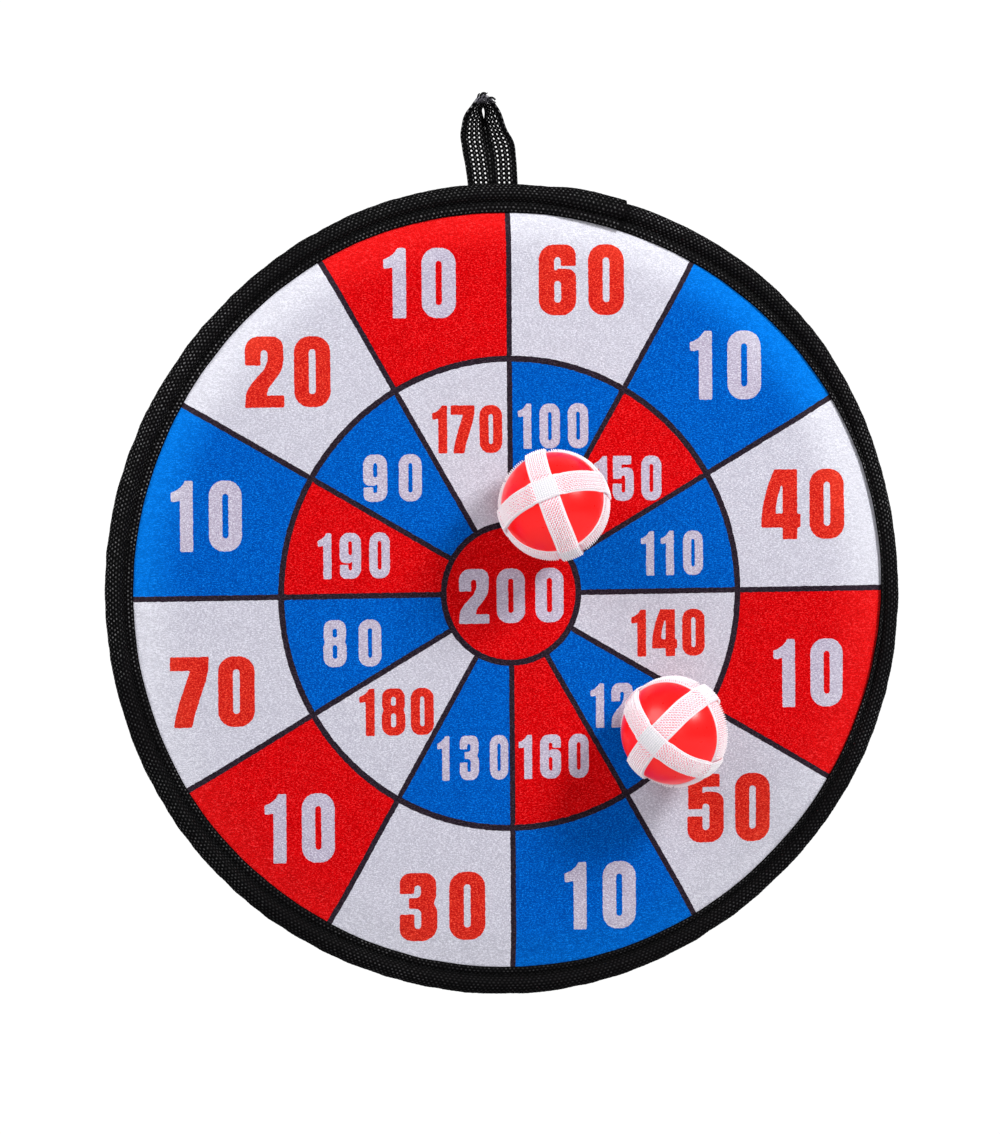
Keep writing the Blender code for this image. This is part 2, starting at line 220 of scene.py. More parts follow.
# ================================================================ materials
def knit_pile(name, colour, deep, pale, open_pile_and_top_light):
    """Printed loop-pile knit: fine tufts that lie in short cross-wise dashes."""
    n = Nodes(name)
    p = n.place()
    dash = n.noise(n.vec("MULTIPLY", p, (1.15, 0.4, 2.9)), 1.0, 2.0, 0.55)
    fibre = n.noise(n.vec("MULTIPLY", p, (2.7, 1.0, 3.1)), 1.0, 1.0, 0.6)
    mottle = n.noise(n.vec("MULTIPLY", p, (0.26, 0.1, 0.40)), 1.0, 2.0, 0.5)
    tone = n.math("ADD", n.math("MULTIPLY", dash, 0.50), n.math("MULTIPLY", fibre, 0.42))
    tone = n.math("ADD", tone, n.math("MULTIPLY", mottle, 0.08))
    # over the padded rim the pile opens and shows more of its unprinted roots; this lightening is also painted stronger
    # towards the top and weaker at the bottom, a painted highlight where the light falls
    where = n.node("ShaderNodeSeparateXYZ", p)
    radius = n.vec("LENGTH", n.vec("MULTIPLY", p, (1.0, 0.0, 1.0)))
    rim = n.math("MULTIPLY", n.span(radius, 112.0, 131.0), n.span(where.outputs[2], -125.0, 60.0, 0.25, 0.68))
    body = n.mix(n.span(tone, 0.42, 0.60), n.mix(rim, deep, shade(open_pile_and_top_light, 0.80)), n.mix(rim, colour, open_pile_and_top_light))
    body = n.mix(n.math("MULTIPLY", n.span(n.math("ADD", n.math("MULTIPLY", fibre, 0.5), n.math("MULTIPLY", dash, 0.5)), 0.53, 0.64), 0.60), body, pale)
    height = n.math("ADD", n.math("MULTIPLY", fibre, 0.7), n.math("MULTIPLY", dash, 0.7))
    n.set(Base_Color=body, Roughness=0.95, Specular_IOR_Level=0.012)
    n.set(Sheen_Weight=0.03, Sheen_Roughness=0.5, Sheen_Tint=colour)
    n.set(Normal=n.bump(height, 0.34, 0.62))
    return n.material


WHITE_KNIT = knit_pile("white_pile", (0.655, 0.648, 0.728), (0.440, 0.428, 0.510), (0.80, 0.795, 0.87), (0.87, 0.87, 0.945))
RED_KNIT = knit_pile("red_pile", (0.770, 0.0014, 0.0036), (0.440, 0.0004, 0.0014), (0.94, 0.058, 0.060), (0.94, 0.013, 0.013))
BLUE_KNIT = knit_pile("blue_pile", (0.0003, 0.120, 0.585), (0.0001, 0.058, 0.335), (0.009, 0.270, 0.86), (0.002, 0.235, 0.90))
LINE_KNIT = knit_pile("line_pile", (0.031, 0.020, 0.031), (0.012, 0.008, 0.013), (0.075, 0.055, 0.075), (0.036, 0.024, 0.034))
PALE_NUMBER = knit_pile("pale_number_pile", (0.600, 0.560, 0.675), (0.370, 0.320, 0.430), (0.76, 0.74, 0.82), (0.70, 0.68, 0.77))
RED_NUMBER = knit_pile("red_number_pile", (0.780, 0.036, 0.018), (0.460, 0.006, 0.006), (0.88, 0.120, 0.070), (0.90, 0.060, 0.030))
KNITS = [WHITE_KNIT, RED_KNIT, BLUE_KNIT, LINE_KNIT, PALE_NUMBER, RED_NUMBER]
WHITE, RED, BLUE, LINE, PALE_NO, RED_NO = range(6)


def net_tape(name, along, across, lit_rows, staggered):
    """Black knitted net tape. Small light dashes at the yarn's crossings, in staggered rows, are painted glints,
    painted brightest where the tape turns over an edge."""
    n = Nodes(name)
    uv = n.uv()
    wander = n.noise(n.place((0.45, 0.45, 0.45)), 1.0, 2.0, 0.6)
    offset = n.node("ShaderNodeCombineXYZ", n.math("MULTIPLY", wander, 0.9), n.math("MULTIPLY", wander, 0.5), 0.0)
    moved = n.vec("ADD", uv, offset.outputs[0]) if staggered else uv
    cell, cross = lattice(n, moved, along, across, 1.7)
    dot = n.math("MINIMUM", cell, cross)
    fibre = n.noise(n.place((3.4, 3.4, 3.4)), 1.0, 2.0, 0.6)
    patch = n.noise(n.place((0.74, 0.74, 0.74)), 1.0, 3.0, 0.62)
    sep = n.node("ShaderNodeSeparateXYZ", uv)
    u, v = sep.outputs[0], sep.outputs[1]
    # painted glints: small light dashes at the yarn's crossings
    painted_glint = n.span(dot, 0.27, 0.12)
    painted_glint = n.math("MULTIPLY", painted_glint, n.span(patch, 0.40, 0.64, 0.10, 1.05))
    base = n.mix(fibre, (0.0006, 0.0006, 0.0008), (0.0030, 0.0028, 0.0031))
    base = n.mix(n.math("MULTIPLY", n.span(dot, 0.42, 0.16), fibre), base, (0.015, 0.0145, 0.015))
    if lit_rows:
        # painted light: the glints are painted brighter on the roll's outer rows and at the flange's edge, brighter
        # towards the top, dimmer over the crown, and patchy at a large scale
        rows = n.math("ADD", n.span(v, 5.6, 8.4, 0.22, 0.62), n.span(v, 2.4, 1.7, 0.0, 0.40))
        spot = n.node("ShaderNodeSeparateXYZ", n.place())
        height = spot.outputs[2]
        rows = n.math("MULTIPLY", rows, n.span(height, -100.0, 40.0, 0.40, 1.0))
        crown_glint_dimming = n.math("MULTIPLY", n.span(height, 70.0, 120.0), n.span(spot.outputs[0], 56.0, 40.0))
        rows = n.math("MULTIPLY", rows, n.math("SUBTRACT", 1.0, n.math("MULTIPLY", crown_glint_dimming, 0.55)))
        large = n.noise(n.place((0.016, 0.016, 0.016)), 1.0, 1.0, 0.5)
        rows = n.math("MULTIPLY", rows, n.span(large, 0.40, 0.60, 0.45, 1.15))
        # painted shade: no glints across the cut ends of the lap, where the raised lap shades the tape
        for cut in (LAP_CUT, LAP_CUT + 859.7):
            rows = n.math("MULTIPLY", rows, n.span(n.math("ABSOLUTE", n.math("SUBTRACT", u, cut)), 0.5, 1.1))
        # painted shade: the base is painted near-black along the groove between the flange and the roll
        groove = n.math("MULTIPLY", n.span(v, 2.3, 2.8), n.span(v, 4.0, 3.3))
        base = n.mix(groove, base, (0.0008, 0.0008, 0.0009))
    else:
        height = n.node("ShaderNodeSeparateXYZ", n.place()).outputs[2]
        # painted light: the glints are painted brighter towards the loop's top
        rows = n.span(height, 150.0, 168.0, 0.60, 1.0)
        # a painted highlight along the folded crest's ridge
        crest_highlight = n.math("MULTIPLY", n.span(height, 166.6, 168.6), n.span(fibre, 0.36, 0.58))
        base = n.mix(n.math("MULTIPLY", crest_highlight, 0.85), base, (0.30, 0.29, 0.34))
    body = n.mix(n.math("MULTIPLY", painted_glint, rows), base, (0.34, 0.335, 0.34))
    n.set(Base_Color=body, Roughness=n.span(fibre, 0.3, 0.7, 0.60, 0.85), Specular_IOR_Level=0.032)
    n.set(Normal=n.bump(n.math("ADD", n.math("MULTIPLY", painted_glint, 0.7), n.math("MULTIPLY", fibre, 0.4)), 0.25, 0.8))
    return n.material


LAP_CUT = math.radians(72.5) * 137.0
BINDING = net_tape("binding_net_tape", 1.56, 1.84, True, True)
LOOP = net_tape("loop_net_tape", 1.56, 1.84, False, False)


def spun_thread(name, colour, high):
    n = Nodes(name)
    uv = n.uv()
    sep = n.node("ShaderNodeSeparateXYZ", uv)
    twist = n.math("SINE", n.math("ADD", n.math("MULTIPLY", sep.outputs[0], 11.0), n.math("MULTIPLY", sep.outputs[1], 9.0)))
    fuzz = n.noise(n.place((5.0, 5.0, 5.0)), 1.0, 2.0, 0.6)
    tone = n.span(n.math("ADD", n.math("MULTIPLY", twist, 0.4), fuzz), 0.0, 1.1)
    n.set(Base_Color=n.mix(tone, colour, high), Roughness=0.65, Specular_IOR_Level=0.12)
    n.set(Normal=n.bump(twist, 0.06, 0.8))
    return n.material


THREAD = spun_thread("black_thread", (0.002, 0.002, 0.0025), (0.010, 0.010, 0.011))


def bonded_cloth(name):
    """Black spun-bonded backing cloth with rows of small melted points."""
    n = Nodes(name)
    p = n.place()
    swap = n.node("ShaderNodeSeparateXYZ", p)
    flat = n.node("ShaderNodeCombineXYZ", swap.outputs[0], swap.outputs[2], 0.0).outputs[0]
    point, _ = lattice(n, flat, 1.7, 1.5)
    fibre = n.noise(n.vec("MULTIPLY", p, (1.9, 1.0, 3.0)), 1.0, 4.0, 0.65, 0.8)
    drift = n.noise(n.vec("MULTIPLY", p, (0.05, 0.05, 0.05)), 1.0, 3.0, 0.5)
    dot = n.span(point, 0.15, 0.26)
    tone = n.math("MULTIPLY", n.math("ADD", n.math("MULTIPLY", fibre, 0.7), n.math("MULTIPLY", drift, 0.4)), n.math("ADD", 0.45, n.math("MULTIPLY", dot, 0.55)))
    n.set(Base_Color=n.mix(tone, (0.008, 0.008, 0.009), (0.135, 0.135, 0.145)))
    n.set(Roughness=n.math("ADD", 0.42, n.math("MULTIPLY", dot, 0.35)), Specular_IOR_Level=0.35)
    n.set(Normal=n.bump(n.math("ADD", dot, n.math("MULTIPLY", fibre, 0.6)), 0.22, 0.7))
    return n.material


def open_foam(name):
    n = Nodes(name)
    p = n.place()
    pores = n.cells(p, 1.3, "F1")
    fine = n.cells(p, 3.1, "F1")
    stain = n.noise(n.vec("MULTIPLY", p, (0.04, 0.04, 0.04)), 1.0, 3.0, 0.5)
    tone = n.math("ADD", n.math("MULTIPLY", pores, 0.6), n.math("MULTIPLY", fine, 0.3))
    n.set(Base_Color=n.mix(n.span(n.math("ADD", tone, n.math("MULTIPLY", stain, 0.3)), 0.2, 0.8), (0.80, 0.79, 0.74), (0.46, 0.45, 0.42)))
    n.set(Roughness=0.95, Normal=n.bump(tone, -0.5, 0.9))
    return n.material


def grey_card(name):
    n = Nodes(name)
    p = n.place()
    fibre = n.noise(n.vec("MULTIPLY", p, (0.7, 2.0, 2.4)), 1.0, 5.0, 0.7, 1.2)
    fleck = n.cells(n.vec("MULTIPLY", p, (0.55, 1.0, 0.55)), 1.0)
    tone = n.math("ADD", n.math("MULTIPLY", fibre, 0.8), n.math("MULTIPLY", n.span(fleck, 0.10, 0.03), -0.3))
    n.set(Base_Color=n.mix(tone, (0.17, 0.15, 0.13), (0.46, 0.43, 0.38)), Roughness=0.9)
    n.set(Normal=n.bump(fibre, 0.08, 0.6))
    return n.material


def moulded_red(name):
    """Thin blown ball plastic: glossy and saturated, faintly uneven, with a few dust specks, and a faint painted red
    glow that lifts its shaded side.
    """
    n = Nodes(name)
    p = n.place()
    ripple = n.noise(n.vec("MULTIPLY", p, (0.11, 0.11, 0.11)), 1.0, 2.0, 0.5)
    peel = n.noise(n.vec("MULTIPLY", p, (0.9, 0.9, 0.9)), 1.0, 2.0, 0.5)
    scuff = n.span(n.noise(n.vec("MULTIPLY", p, (0.35, 1.6, 0.5)), 1.0, 4.0, 0.7), 0.60, 0.80)
    n.set(Base_Color=n.mix(ripple, (0.95, 0.0010, 0.0020), (1.0, 0.0040, 0.0030)))
    # painted light: a faint red glow that lifts the shaded side of the shell
    n.set(Emission_Color=(1.0, 0.022, 0.022), Emission_Strength=0.25)
    n.set(Roughness=n.math("ADD", n.math("ADD", 0.25, n.math("MULTIPLY", peel, 0.08)), n.math("MULTIPLY", scuff, 0.12)))
    n.set(Specular_IOR_Level=0.42)
    n.set(Normal=n.bump(n.math("ADD", n.math("MULTIPLY", ripple, 1.0), n.math("MULTIPLY", peel, 0.15)), 0.10, 0.6))
    return n.material


def tape_ground(name, red):
    """The woven ground of the hook tape; where it lies straight on the ball, red shows through. The ground also has a
    faint painted glow that lifts it in shade.
    """
    n = Nodes(name)
    uv = n.uv()
    sep = n.node("ShaderNodeSeparateXYZ", uv)
    u, v = sep.outputs[0], sep.outputs[1]
    weft = n.math("SINE", n.math("MULTIPLY", u, TAU / 0.39))
    warp = n.math("SINE", n.math("MULTIPLY", v, TAU / 0.36))
    weave = n.math("MULTIPLY", weft, warp)
    field = n.span(n.math("ABSOLUTE", v), 3.15, 2.75)
    ground_and_glow = n.mix(n.span(weave, -0.8, 0.8), (0.75, 0.745, 0.78), (0.85, 0.845, 0.88))
    if red:
        hatch = n.math("SINE", n.math("MULTIPLY", n.math("ADD", u, v), TAU / 1.25))
        tint = n.math("ADD", n.math("MULTIPLY", hatch, 0.8), n.math("MULTIPLY", weave, 0.35))
        ground_and_glow = n.mix(n.span(tint, -0.6, 0.5), (0.92, 0.29, 0.36), (0.93, 0.83, 0.88))
    edge = n.mix(n.span(warp, -1.0, 1.0), (0.80, 0.73, 0.78), (0.88, 0.83, 0.87))
    n.set(Base_Color=n.mix(field, edge, ground_and_glow), Roughness=0.55, Specular_IOR_Level=0.35)
    n.set(Normal=n.bump(weave, 0.06, 0.7))
    # painted light: a faint glow from the ground's own colour, standing in for light scattered through the thin tape
    n.set(Emission_Color=n.mix(field, (1.0, 0.93, 0.95), ground_and_glow), Emission_Strength=0.11 if red else 0.07)
    return n.material


def hook_nylon(name):
    n = Nodes(name)
    p = n.place()
    vary = n.noise(n.vec("MULTIPLY", p, (1.3, 1.3, 1.3)), 1.0, 1.0, 0.5)
    n.set(Base_Color=n.mix(vary, (0.96, 0.90, 0.93), (0.98, 0.96, 0.97)), Roughness=0.38, Specular_IOR_Level=0.45)
    # painted light: a faint glow that keeps the hooks bright in shade, standing in for light scattered through the thin
    # nylon
    n.set(Emission_Color=(1.0, 0.94, 0.97), Emission_Strength=0.13)
    return n.material


BACK_CLOTH = bonded_cloth("black_backing_cloth")
FOAM = open_foam("open_cell_foam")
CARD = grey_card("grey_card")
SHELL_RED = moulded_red("glossy_red_shell")
TAPE_GROUND = tape_ground("hook_tape_ground", True)
TAPE_DOUBLE = tape_ground("hook_tape_doubled", False)
HOOKS = hook_nylon("hook_tape_hooks")


# ================================================================ mesh helpers
def smooth(t):
    t = np.clip(t, 0.0, 1.0)
    return t * t * (3.0 - 2.0 * t)


def piece(name, points, faces, materials, slots=None, uv=None, soft=True):
    """A mesh object from points in mm and faces of any size; uv holds one pair a point."""
    mesh = bpy.data.meshes.new(name)
    mesh.from_pydata((np.asarray(points, float) * MM).tolist(), [], [list(map(int, f)) for f in faces])
    for m in materials if isinstance(materials, (list, tuple)) else [materials]:
        mesh.materials.append(m)
    if slots is not None:
        mesh.polygons.foreach_set("material_index", np.asarray(slots, np.int32))
    if uv is not None:
        layer = mesh.uv_layers.new(name="tape")
        loops = np.zeros(len(mesh.loops), np.int32)
        mesh.loops.foreach_get("vertex_index", loops)
        layer.data.foreach_set("uv", np.asarray(uv, np.float32)[loops].ravel())
    if soft:
        mesh.polygons.foreach_set("use_smooth", np.ones(len(mesh.polygons), bool))
    mesh.update()
    obj = bpy.data.objects.new(name, mesh)
    scene.collection.objects.link(obj)
    return obj


def waves(angle, terms, seed, low=2):
    """A smooth random periodic curve, about 1 at its highest."""
    r = np.random.default_rng(seed)
    total = np.zeros_like(angle)
    size = 0.0
    for k in range(terms):
        order = low + int(r.integers(0, 3 * terms))
        amount = 1.0 / (1.0 + 0.12 * order)
        total = total + amount * np.sin(order * angle + r.uniform(0, TAU))
        size += amount * amount
    return total / math.sqrt(max(size, 1e-9)) / 1.6


def grid_faces(rows, columns, closed_rows=False, closed_columns=False):
    i = np.arange(rows if closed_rows else rows - 1)
    j = np.arange(columns if closed_columns else columns - 1)
    a, b = np.meshgrid(i, j, indexing="ij")
    a2, b2 = (a + 1) % rows, (b + 1) % columns
    return np.stack([a * columns + b, a * columns + b2, a2 * columns + b2, a2 * columns + b], -1).reshape(-1, 4)


def tube(name, line, radius, sides, material, closed=False, taper=None):
    """A round thread along points in mm."""
    line = np.asarray(line, float)
    count = len(line)
    ahead = np.roll(line, -1, 0) - np.roll(line, 1, 0)
    if not closed:
        ahead[0], ahead[-1] = line[1] - line[0], line[-1] - line[-2]
    ahead /= np.linalg.norm(ahead, axis=1)[:, None]
    ref = np.array([0.0, 1.0, 0.0])
    side = np.cross(ahead, ref)
    side /= np.linalg.norm(side, axis=1)[:, None]
    up = np.cross(side, ahead)
    turn = np.arange(sides) * TAU / sides
    r = radius if taper is None else radius * taper[:, None, None]
    ring = line[:, None] + r * (side[:, None] * np.cos(turn)[None, :, None] + up[:, None] * np.sin(turn)[None, :, None])
    faces = grid_faces(count, sides, closed, True).tolist()
    if not closed:
        faces.append(list(range(sides))[::-1])
        faces.append([(count - 1) * sides + k for k in range(sides)])
    run = np.r_[0.0, np.cumsum(np.linalg.norm(np.diff(line, axis=0), axis=1))]
    uv = np.stack([np.repeat(run, sides), np.tile(turn, count)], -1)
    return piece(name, ring.reshape(-1, 3), faces, material, uv=uv)


# ================================================================ the board's own numbers
FIELD_DEPTH, FACE_R, FACE_THICK = 6.9, 136.8, 1.0
DIP_START, DIP_END, DIP = 118.0, 133.0, 1.6
STITCH_R, STITCH_PITCH = 134.0, 3.0
LAP_ANGLE, LAP_SPAN = 72.5, 5.0


def face_depth(r):
    groove = 0.45 * np.exp(-(((r - 134.1) / 0.9) ** 2))
    return FIELD_DEPTH - DIP * smooth((r - DIP_START) / (DIP_END - DIP_START)) - groove


def outline_wobble(a):
    """The hand-fed binding is not a true circle: this is how far its rim strays."""
    return (
        0.16 * np.cos(a) - 0.26 * np.sin(a) + 0.53 * np.cos(2 * a) + 0.22 * np.sin(2 * a) - 0.14 * np.cos(3 * a) - 0.11 * np.cos(4 * a)
        - 0.13 * np.cos(5 * a) - 0.16 * np.sin(5 * a) - 0.08 * np.cos(6 * a) - 0.26 * np.sin(6 * a)
    )


def seam_wobble(a):
    """How far the seam and the flange's inner edge stray from their circle."""
    return (
        0.25 + 0.58 * np.cos(a) - 0.33 * np.sin(a) + 1.28 * np.cos(2 * a) - 0.04 * np.sin(2 * a)
        + 0.31 * np.cos(3 * a) + 0.12 * np.sin(3 * a) + 0.06 * np.cos(4 * a) + 0.28 * np.sin(4 * a)
    )


# ================================================================ the printed face
PRINT_X, PRINT_Z, PRINT_TURN = 0.67, -1.70, math.radians(0.443)
BULL_R, RING_R, RING_W, SPOKE_W = 23.9, 80.9, 2.1, 1.9

# Condensed bold figures on a 24 mm body: outlines of (x, z, corner radius).
GLYPHS = {
    "0": (12.4, [
        [(0, 0, 5.4), (12.4, 0, 5.4), (12.4, 24, 5.4), (0, 24, 5.4)],
        [(5.05, 4.4, 1.1), (7.35, 4.4, 1.1), (7.35, 19.6, 1.1), (5.05, 19.6, 1.1)],
    ]),
    "1": (8.2, [
        [(3.35, 0), (8.2, 0), (8.2, 24), (5.3, 24), (4.4, 22.6, 2.5), (2.9, 21.3, 2.5), (1.4, 20.5, 2.5),
         (0, 20.1), (0.1, 17.0), (1.7, 17.05, 2.0), (3.35, 17.5)],
    ]),
    "2": (13.3, [
        [(0, 0), (13.3, 0), (13.3, 4.1), (7.2, 4.1), (8.0, 6.6, 4), (10.8, 10.1, 6), (12.7, 13.1, 6),
         (13.1, 16.0, 4), (13.1, 24, 5.4), (0.1, 24, 5.4), (0.1, 14.2), (5.4, 14.2), (5.4, 19.4, 1.1),
         (7.7, 19.4, 1.1), (7.7, 15.8, 4), (6.6, 13.0, 5), (2.2, 8.2, 5), (0.4, 5.2, 4)],
    ]),
    "3": (12.9, [
        [(0, 9.5), (0, 0, 5.2), (12.9, 0, 5.2), (12.9, 10.8, 2.6), (11.7, 13.2, 0.8), (12.6, 15.6, 2.6),
         (12.6, 24, 5.2), (0.1, 24, 5.2), (0.1, 16.7), (5.05, 16.7), (5.05, 19.6, 1.1), (7.35, 19.6, 1.1),
         (7.35, 15.3, 1.8), (3.2, 15.2), (3.2, 11.5), (7.35, 11.4, 1.8), (7.35, 4.3, 1.1), (5.05, 4.3, 1.1),
         (5.05, 9.5)],
    ]),
    "4": (13.9, [
        [(7.5, 0), (12.7, 0), (12.7, 4.1), (13.9, 4.1), (13.9, 8.7), (12.7, 8.7), (12.7, 24), (4.6, 24),
         (2.2, 18.2, 12), (0.7, 12.4, 12), (0, 8.0, 6), (0, 4.1), (7.5, 4.1)],
        [(7.5, 8.9), (7.5, 18.4, 0.4), (7.0, 18.4, 0.4), (5.8, 14.6, 8), (5.2, 11.4, 6), (5.1, 8.9)],
    ]),
    "5": (12.9, [
        [(0, 9.2), (0, 0, 5.2), (12.9, 0, 5.2), (12.9, 17.4, 4.6), (6.6, 17.9, 2.0), (5.4, 16.9, 0.3), (5.4, 19.4),
         (11.5, 19.4), (11.5, 24), (0.3, 24), (0.3, 11.7), (5.4, 11.7), (5.4, 13.5, 1.0), (7.75, 13.5, 1.0),
         (7.75, 4.3, 1.1), (5.4, 4.3, 1.1), (5.4, 9.2)],
    ]),
    "6": (12.9, [
        [(0, 0, 5.3), (12.9, 0, 5.3), (12.9, 15.6, 4.4), (7.0, 15.9, 1.8), (5.35, 14.9, 0.3), (5.35, 19.7, 1.1),
         (7.6, 19.7, 1.1), (7.6, 16.7), (12.8, 16.7), (12.8, 24, 5.3), (0, 24, 5.3)],
        [(5.35, 4.3, 1.1), (7.65, 4.3, 1.1), (7.65, 11.7, 1.1), (5.35, 11.7, 1.1)],
    ]),
    "7": (13.0, [
        [(1.3, 0), (7.3, 0), (8.3, 4.5, 12), (10.0, 9.8, 14), (12.0, 15.7, 14), (12.9, 19.6, 8), (13.0, 24),
         (0, 24), (0, 19.3), (6.7, 19.3), (4.8, 13.8, 14), (3.1, 8.6, 14), (1.9, 3.8, 12)],
    ]),
    "8": (12.6, [
        [(0, 0, 5.2), (12.6, 0, 5.2), (12.6, 10.6, 2.4), (11.7, 12.9, 0.8), (12.4, 15.0, 2.4), (12.4, 24, 5.2),
         (0.2, 24, 5.2), (0.2, 15.0, 2.4), (0.9, 12.9, 0.8), (0, 10.6, 2.4)],
        [(5.0, 4.2, 1.1), (7.6, 4.2, 1.1), (7.6, 11.3, 1.1), (5.0, 11.3, 1.1)],
        [(5.05, 15.1, 1.1), (7.55, 15.1, 1.1), (7.55, 19.7, 1.1), (5.05, 19.7, 1.1)],
    ]),
}
GLYPHS["9"] = (12.9, [[(12.9 - q[0], 24 - q[1], *q[2:]) for q in loop] for loop in GLYPHS["6"][1]])

# The figures: text, middle height, body height, width factor, each figure's left edge, colour.
NUMBERS = [
    ("60", 107.87, 24.43, 1.033, (10.57, 28.14), RED_NO),
    ("10", 78.05, 23.78, 0.975, (64.31, 77.82), PALE_NO),
    ("40", 29.48, 24.42, 1.023, (89.69, 107.12), RED_NO),
    ("10", -29.31, 23.69, 0.955, (93.70, 107.11), PALE_NO),
    ("50", -75.70, 23.82, 1.017, (62.34, 79.55), RED_NO),
    ("10", -105.00, 23.29, 0.952, (18.23, 31.83), PALE_NO),
    ("30", -107.43, 23.55, 1.028, (-40.27, -22.76), RED_NO),
    ("10", -79.27, 23.76, 0.930, (-87.40, -74.39), PALE_NO),
    ("70", -31.97, 24.19, 1.033, (-119.79, -103.20), RED_NO),
    ("10", 28.04, 24.13, 0.921, (-118.92, -105.82), PALE_NO),
    ("20", 76.99, 24.31, 1.027, (-92.89, -75.76), RED_NO),
    ("10", 107.08, 24.07, 0.973, (-44.28, -30.81), PALE_NO),
    ("100", 57.57, 15.50, 0.583, (2.84, 10.55, 20.61), PALE_NO),
    ("150", 39.24, 15.51, 0.583, (29.70, 36.39, 46.65), PALE_NO),
    ("110", 13.13, 15.37, 0.572, (46.34, 53.43, 61.47), PALE_NO),
    ("140", -14.48, 16.32, 0.652, (42.64, 50.07, 60.92), RED_NO),
    ("120", -39.30, 15.38, 0.590, (27.92, 35.35, 46.02), PALE_NO),
    ("160", -56.53, 15.25, 0.578, (2.25, 9.85, 20.03), PALE_NO),
    ("130", -56.40, 15.31, 0.523, (-26.56, -18.59, -7.96), PALE_NO),
    ("180", -40.05, 16.23, 0.658, (-53.91, -46.03, -35.84), RED_NO),
    ("80", -16.18, 16.08, 0.643, (-66.30, -53.93), PALE_NO),
    ("190", 13.83, 15.74, 0.582, (-68.01, -60.36, -49.94), PALE_NO),
    ("90", 40.34, 16.19, 0.650, (-51.84, -39.31), PALE_NO),
    ("170", 56.74, 16.50, 0.651, (-27.51, -20.92, -10.79), RED_NO),
    ("200", -0.78, 18.81, 0.807, (-18.51, -5.09, 8.62), PALE_NO),
]


def rounded(corners):
    """A closed outline whose corners are rounded."""
    out = []
    count = len(corners)
    for i in range(count):
        p = np.array(corners[i][:2], float)
        want = corners[i][2] if len(corners[i]) > 2 else 0.3
        u = np.array(corners[i - 1][:2], float) - p
        v = np.array(corners[(i + 1) % count][:2], float) - p
        lu, lv = np.linalg.norm(u), np.linalg.norm(v)
        u, v = u / lu, v / lv
        angle = math.acos(float(np.clip(u @ v, -1.0, 1.0)))
        if angle > math.radians(176.0):
            out.append(p)
            continue
        t = min(want / math.tan(angle / 2.0), 0.49 * lu, 0.49 * lv)
        r = t * math.tan(angle / 2.0)
        middle = p + (u + v) / np.linalg.norm(u + v) * (r / math.sin(angle / 2.0))
        a0 = math.atan2(*(p + u * t - middle)[::-1])
        a1 = math.atan2(*(p + v * t - middle)[::-1])
        d = (a1 - a0 + math.pi) % TAU - math.pi
        k = max(2, int(abs(d) * r / 0.5))
        out += [middle + r * np.array([math.cos(a0 + d * j / k), math.sin(a0 + d * j / k)]) for j in range(k + 1)]
    return np.array(out)


def spaced(loop, step, closed=True):
    """The same line with points an even step apart."""
    loop = np.asarray(loop, float)
    if closed:
        loop = np.r_[loop, loop[:1]]
    seg = np.linalg.norm(np.diff(loop, axis=0), axis=1)
    run = np.r_[0.0, np.cumsum(seg)]
    count = max(6 if closed else 2, int(round(run[-1] / step)))
    at = np.linspace(0.0, run[-1], count + 1)
    if closed:
        at = at[:-1]
    return np.stack([np.interp(at, run, loop[:, k]) for k in range(loop.shape[1])], -1)


def placed_numbers():
    """Every figure's outlines in the print's own plane, with its colour."""
    made = []
    for text, z, height, kx, lefts, colour in NUMBERS:
        for c, left in zip(text, lefts):
            place = [left, z - height / 2.0]
            made.append((colour, [rounded(l) * [kx, height / 24.0] + place for l in GLYPHS[c][1]]))
    return made


def inside(points, loop):
    """Which points lie inside a closed outline."""
    x, z = points[:, 0], points[:, 1]
    hit = np.zeros(len(points), bool)
    for (x0, z0), (x1, z1) in zip(loop, np.roll(loop, -1, 0)):
        if z0 == z1:
            continue
        cross = (z0 > z) != (z1 > z)
        hit ^= cross & (x < (x1 - x0) * (z - z0) / (z1 - z0) + x0)
    return hit


def to_board(p):
    c, s = math.cos(PRINT_TURN), math.sin(PRINT_TURN)
    return np.stack([c * p[:, 0] - s * p[:, 1] + PRINT_X, s * p[:, 0] + c * p[:, 1] + PRINT_Z], -1)


def to_print(p):
    c, s = math.cos(PRINT_TURN), math.sin(PRINT_TURN)
    q = p - [PRINT_X, PRINT_Z]
    return np.stack([c * q[:, 0] + s * q[:, 1], -s * q[:, 0] + c * q[:, 1]], -1)


def ragged(loop, amount):
    """Dye creeps along the pile, so a printed edge strays a little."""
    ahead = np.roll(loop, -1, 0) - np.roll(loop, 1, 0)
    ahead /= np.maximum(np.linalg.norm(ahead, axis=1), 1e-9)[:, None]
    return loop + np.stack([ahead[:, 1], -ahead[:, 0]], -1) * rng.normal(0.0, amount, len(loop))[:, None]


